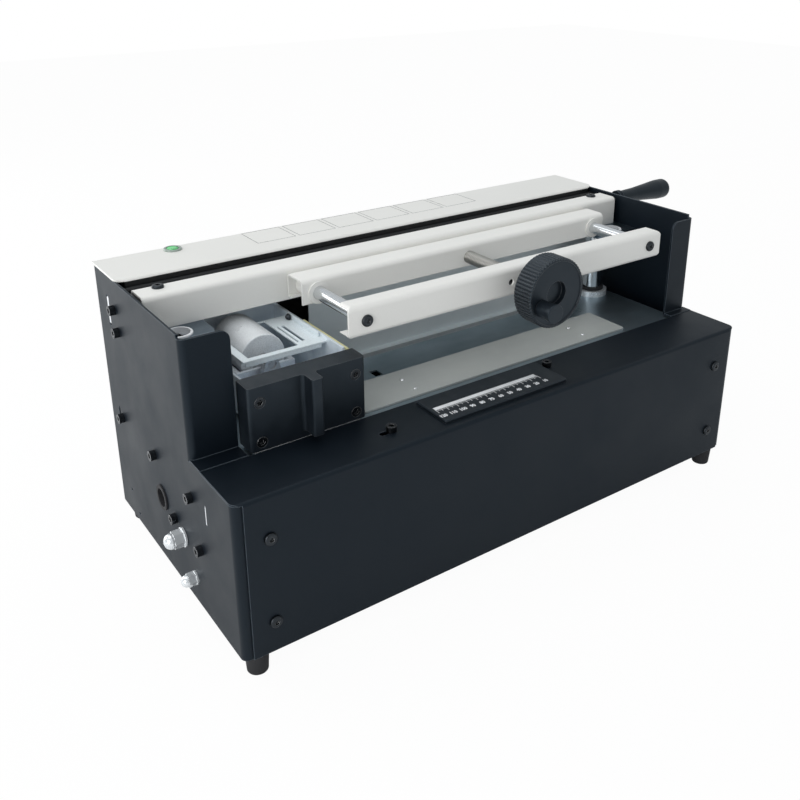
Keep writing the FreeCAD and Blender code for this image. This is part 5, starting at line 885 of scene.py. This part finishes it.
@dataclass(frozen=True)
class ScraperTray:
    """Folded frame round the roller: long slot with its rod, raised right flange and short front lip."""

    front: float = -33.65 * MM
    rear: float = 34.5 * MM
    rise: float = 8.0 * MM
    sheet: float = 1.5 * MM
    bar: float = 5.5 * MM
    lip: float = 5.0 * MM
    lip_radius: float = 0.4 * MM
    window: Span = (-239.5 * MM, -195.0 * MM)
    slot_x: Span = (-192.8 * MM, -185.4 * MM)
    slot_y: Span = (-22.5 * MM, 15.5 * MM)
    flange_x: float = -174.6 * MM
    flange_rise: float = 4.9 * MM
    flange_radius: float = 0.5 * MM
    rod_radius: float = 1.4 * MM
    rod_steps: int = 16
    corner: float = 5.0 * MM

    def build(self, paint: Paint) -> bpy.types.Object:
        """Build the frame as one piece in place of the plain solid."""
        low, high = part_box("scraper_frame")
        top = low.z + self.rise
        fold = top - self.sheet / 2
        work = Workpiece()
        window = (self.window[0], self.front + self.bar, self.window[1], self.rear - self.sheet)
        slot = (self.slot_x[0], self.slot_y[0], self.slot_x[1], self.slot_y[1])
        work.sheet(Vector((low.x, self.front, top - self.sheet)), Vector((high.x, self.rear, top)),
                   [window, slot])
        work.block(Vector((low.x + self.sheet, self.front, top - self.lip)),
                   Vector((high.x - self.corner, self.front + self.sheet, fold)), self.lip_radius)
        work.block(Vector((self.flange_x, self.front + self.corner * 2, fold)),
                   Vector((self.flange_x + self.sheet, self.rear - self.corner, top + self.flange_rise)),
                   self.flange_radius)
        start = Vector((sum(self.slot_x) / 2, self.slot_y[0] - self.sheet, top - self.rod_radius))
        reach = self.slot_y[1] - self.slot_y[0] + 2 * self.sheet
        rod = [(0.0, 0.0), (self.rod_radius, 0.0), (self.rod_radius, reach), (0.0, reach)]
        work.turned(start, NORTH, rod, self.rod_steps)
        piece = work.finish("scraper_tray", Body.CARRIAGE, Slot.IVORY_COAT, paint, "scraper_frame")
        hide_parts("scraper_frame")
        return piece


@dataclass(frozen=True)
class TrayScrew:
    """Black button screw on the flange of the scraper frame."""

    place: Triple = (-176.6 * MM, 24.0 * MM, 209.6 * MM)
    radius: float = 3.0 * MM
    height: float = 2.2 * MM
    crown: float = 0.7
    socket_radius: float = 0.45
    socket_floor: float = 0.2
    steps: int = 24

    def build(self, paint: Paint) -> bpy.types.Object:
        """Build the screw as one piece, its crown and socket as shares of its radius and height."""
        work = Workpiece()
        socket, floor = self.radius * self.socket_radius, self.height * self.socket_floor
        profile = [(0.0, -self.height / 2), (self.radius, -self.height / 2), (self.radius, 0.0),
                   (self.radius * self.crown, self.height * self.crown), (socket, self.height),
                   (socket, floor), (0.0, floor)]
        work.turned(Vector(self.place), -EAST, profile, self.steps)
        return work.finish("tray_screw", Body.CARRIAGE, Slot.BLACK_STEEL, paint)


@dataclass(frozen=True)
class VentMesh:
    """Dark screen behind the vents of the rear panel."""

    inset: float = 2.2 * MM
    thickness: float = 0.8 * MM
    low_z: float = 110 * MM
    high_z: float = 225 * MM
    margin: float = 30 * MM

    def build(self, paint: Paint) -> bpy.types.Object:
        """Build the screen as one sheet."""
        low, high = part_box("rear_panel")
        work = Workpiece()
        rear = high.y - self.inset
        work.block(Vector((low.x + self.margin, rear - self.thickness, self.low_z)),
                   Vector((high.x - self.margin, rear, self.high_z)))
        return work.finish("vent_mesh", Body.FRAME, Slot.RUBBER, paint)


@dataclass(frozen=True)
class Lamp:
    """Square soft light: its name, its place, the side of the square in metres and its power in watts."""

    name: str
    place: Triple
    size: float
    power: float

    def hang(self, aim: Vector) -> None:
        """Hang the light at its place, turned to a point."""
        data = bpy.data.lights.new(self.name, "AREA")
        data.size = self.size
        data.energy = self.power
        holder = bpy.data.objects.new(self.name, data)
        holder.location = self.place
        holder.rotation_euler = (Vector(self.place) - aim).to_track_quat("Z", "Y").to_euler()
        bpy.context.scene.collection.objects.link(holder)


@dataclass(frozen=True)
class Studio:
    """Pale floor, soft lights and the camera of the photograph."""

    eye: Triple = (-0.508597, -0.636238, 0.510683)
    turn: Triple = (69.2113, 0.0596, -35.2166)
    lens: float = 41.267
    sensor: float = 36.0
    shift: Span = (-0.0185, -0.13614)
    floor_size: float = 8.0
    floor_colour: Colour = (0.9, 0.9, 0.9)
    floor_roughness: float = 0.9
    floor_shown: float = 0.96
    sky_colour: Colour = (0.93, 0.97, 1.0)
    sky_top: float = 0.7
    sky_low: float = 0.5
    sky_high: float = 0.66
    aim: Triple = (0.0, 0.0, 0.12)
    lamps: tuple[Lamp, ...] = (Lamp("key", (-0.5, 0.5, 1.9), 1.5, 9.5),
                               Lamp("side", (-1.8, -0.7, 0.7), 1.3, 14.0),
                               Lamp("rear", (-1.1, 1.5, 0.5), 1.2, 12.0))

    def camera(self) -> None:
        """Put the camera at the photograph's place and angle."""
        data = bpy.data.cameras.new("view")
        data.sensor_width = self.sensor
        data.lens = self.lens
        data.shift_x, data.shift_y = self.shift
        holder = bpy.data.objects.new("view", data)
        holder.location = self.eye
        holder.rotation_euler = Euler([math.radians(part) for part in self.turn])
        bpy.context.scene.collection.objects.link(holder)
        bpy.context.scene.camera = holder

    def floor(self) -> None:
        """Lay a pale floor that shows white and keeps the shadow."""
        mesh = bmesh.new()
        bmesh.ops.create_grid(mesh, x_segments=1, y_segments=1, size=self.floor_size / 2)
        data = bpy.data.meshes.new("floor")
        mesh.to_mesh(data)
        mesh.free()
        recipe = Recipe("floor")
        recipe.set(Base_Color=self.floor_colour, Roughness=self.floor_roughness)
        glow = recipe.node("ShaderNodeEmission", {})
        show_apart(recipe.tree, self.floor_shown, recipe.shader, glow)
        data.materials.append(recipe.material)
        plane = bpy.data.objects.new("floor", data)
        bpy.context.scene.collection.objects.link(plane)

    def sky(self) -> None:
        """Light the room evenly and show white behind the machine."""
        world = bpy.data.worlds.new("room")
        bpy.context.scene.world = world
        world.use_nodes = True
        tree = world.node_tree
        ways = add_node(tree, "ShaderNodeTexCoord", {}).outputs["Generated"]
        height = add_node(tree, "ShaderNodeSeparateXYZ", {0: ways}).outputs["Z"]
        inputs = {"Value": height, "From Min": 0.0, "From Max": self.sky_top,
                  "To Min": self.sky_low, "To Max": self.sky_high}
        strength = add_node(tree, "ShaderNodeMapRange", inputs).outputs["Result"]
        lighting = tree.nodes["Background"]
        fill(lighting, {"Color": opaque(self.sky_colour), "Strength": strength})
        shown = add_node(tree, "ShaderNodeBackground", {"Color": opaque(WHITE)})
        show_apart(tree, 1.0, lighting, shown)

    def build(self) -> None:
        """Set up the whole studio."""
        bpy.context.scene.view_settings.view_transform = "Standard"
        self.camera()
        self.floor()
        self.sky()
        for lamp in self.lamps:
            lamp.hang(Vector(self.aim))


def main() -> None:
    """Dress the frame, add the pieces and set up the studio."""
    logging.basicConfig(level=logging.INFO, format="%(name)s: %(message)s")
    paint = Paint()
    log.info("dressed %d nodes", paint.dress_nodes())
    for maker in (RulerMarks(), CoverPanels(), PlateStuds(), SlotLiners(), VentMesh(), ScraperTray(),
                  TrayScrew()):
        piece = maker.build(paint)
        log.info("built %s with %d faces", piece.name, len(piece.data.polygons))
    Studio().build()


if __name__ == "__main__":
    main()
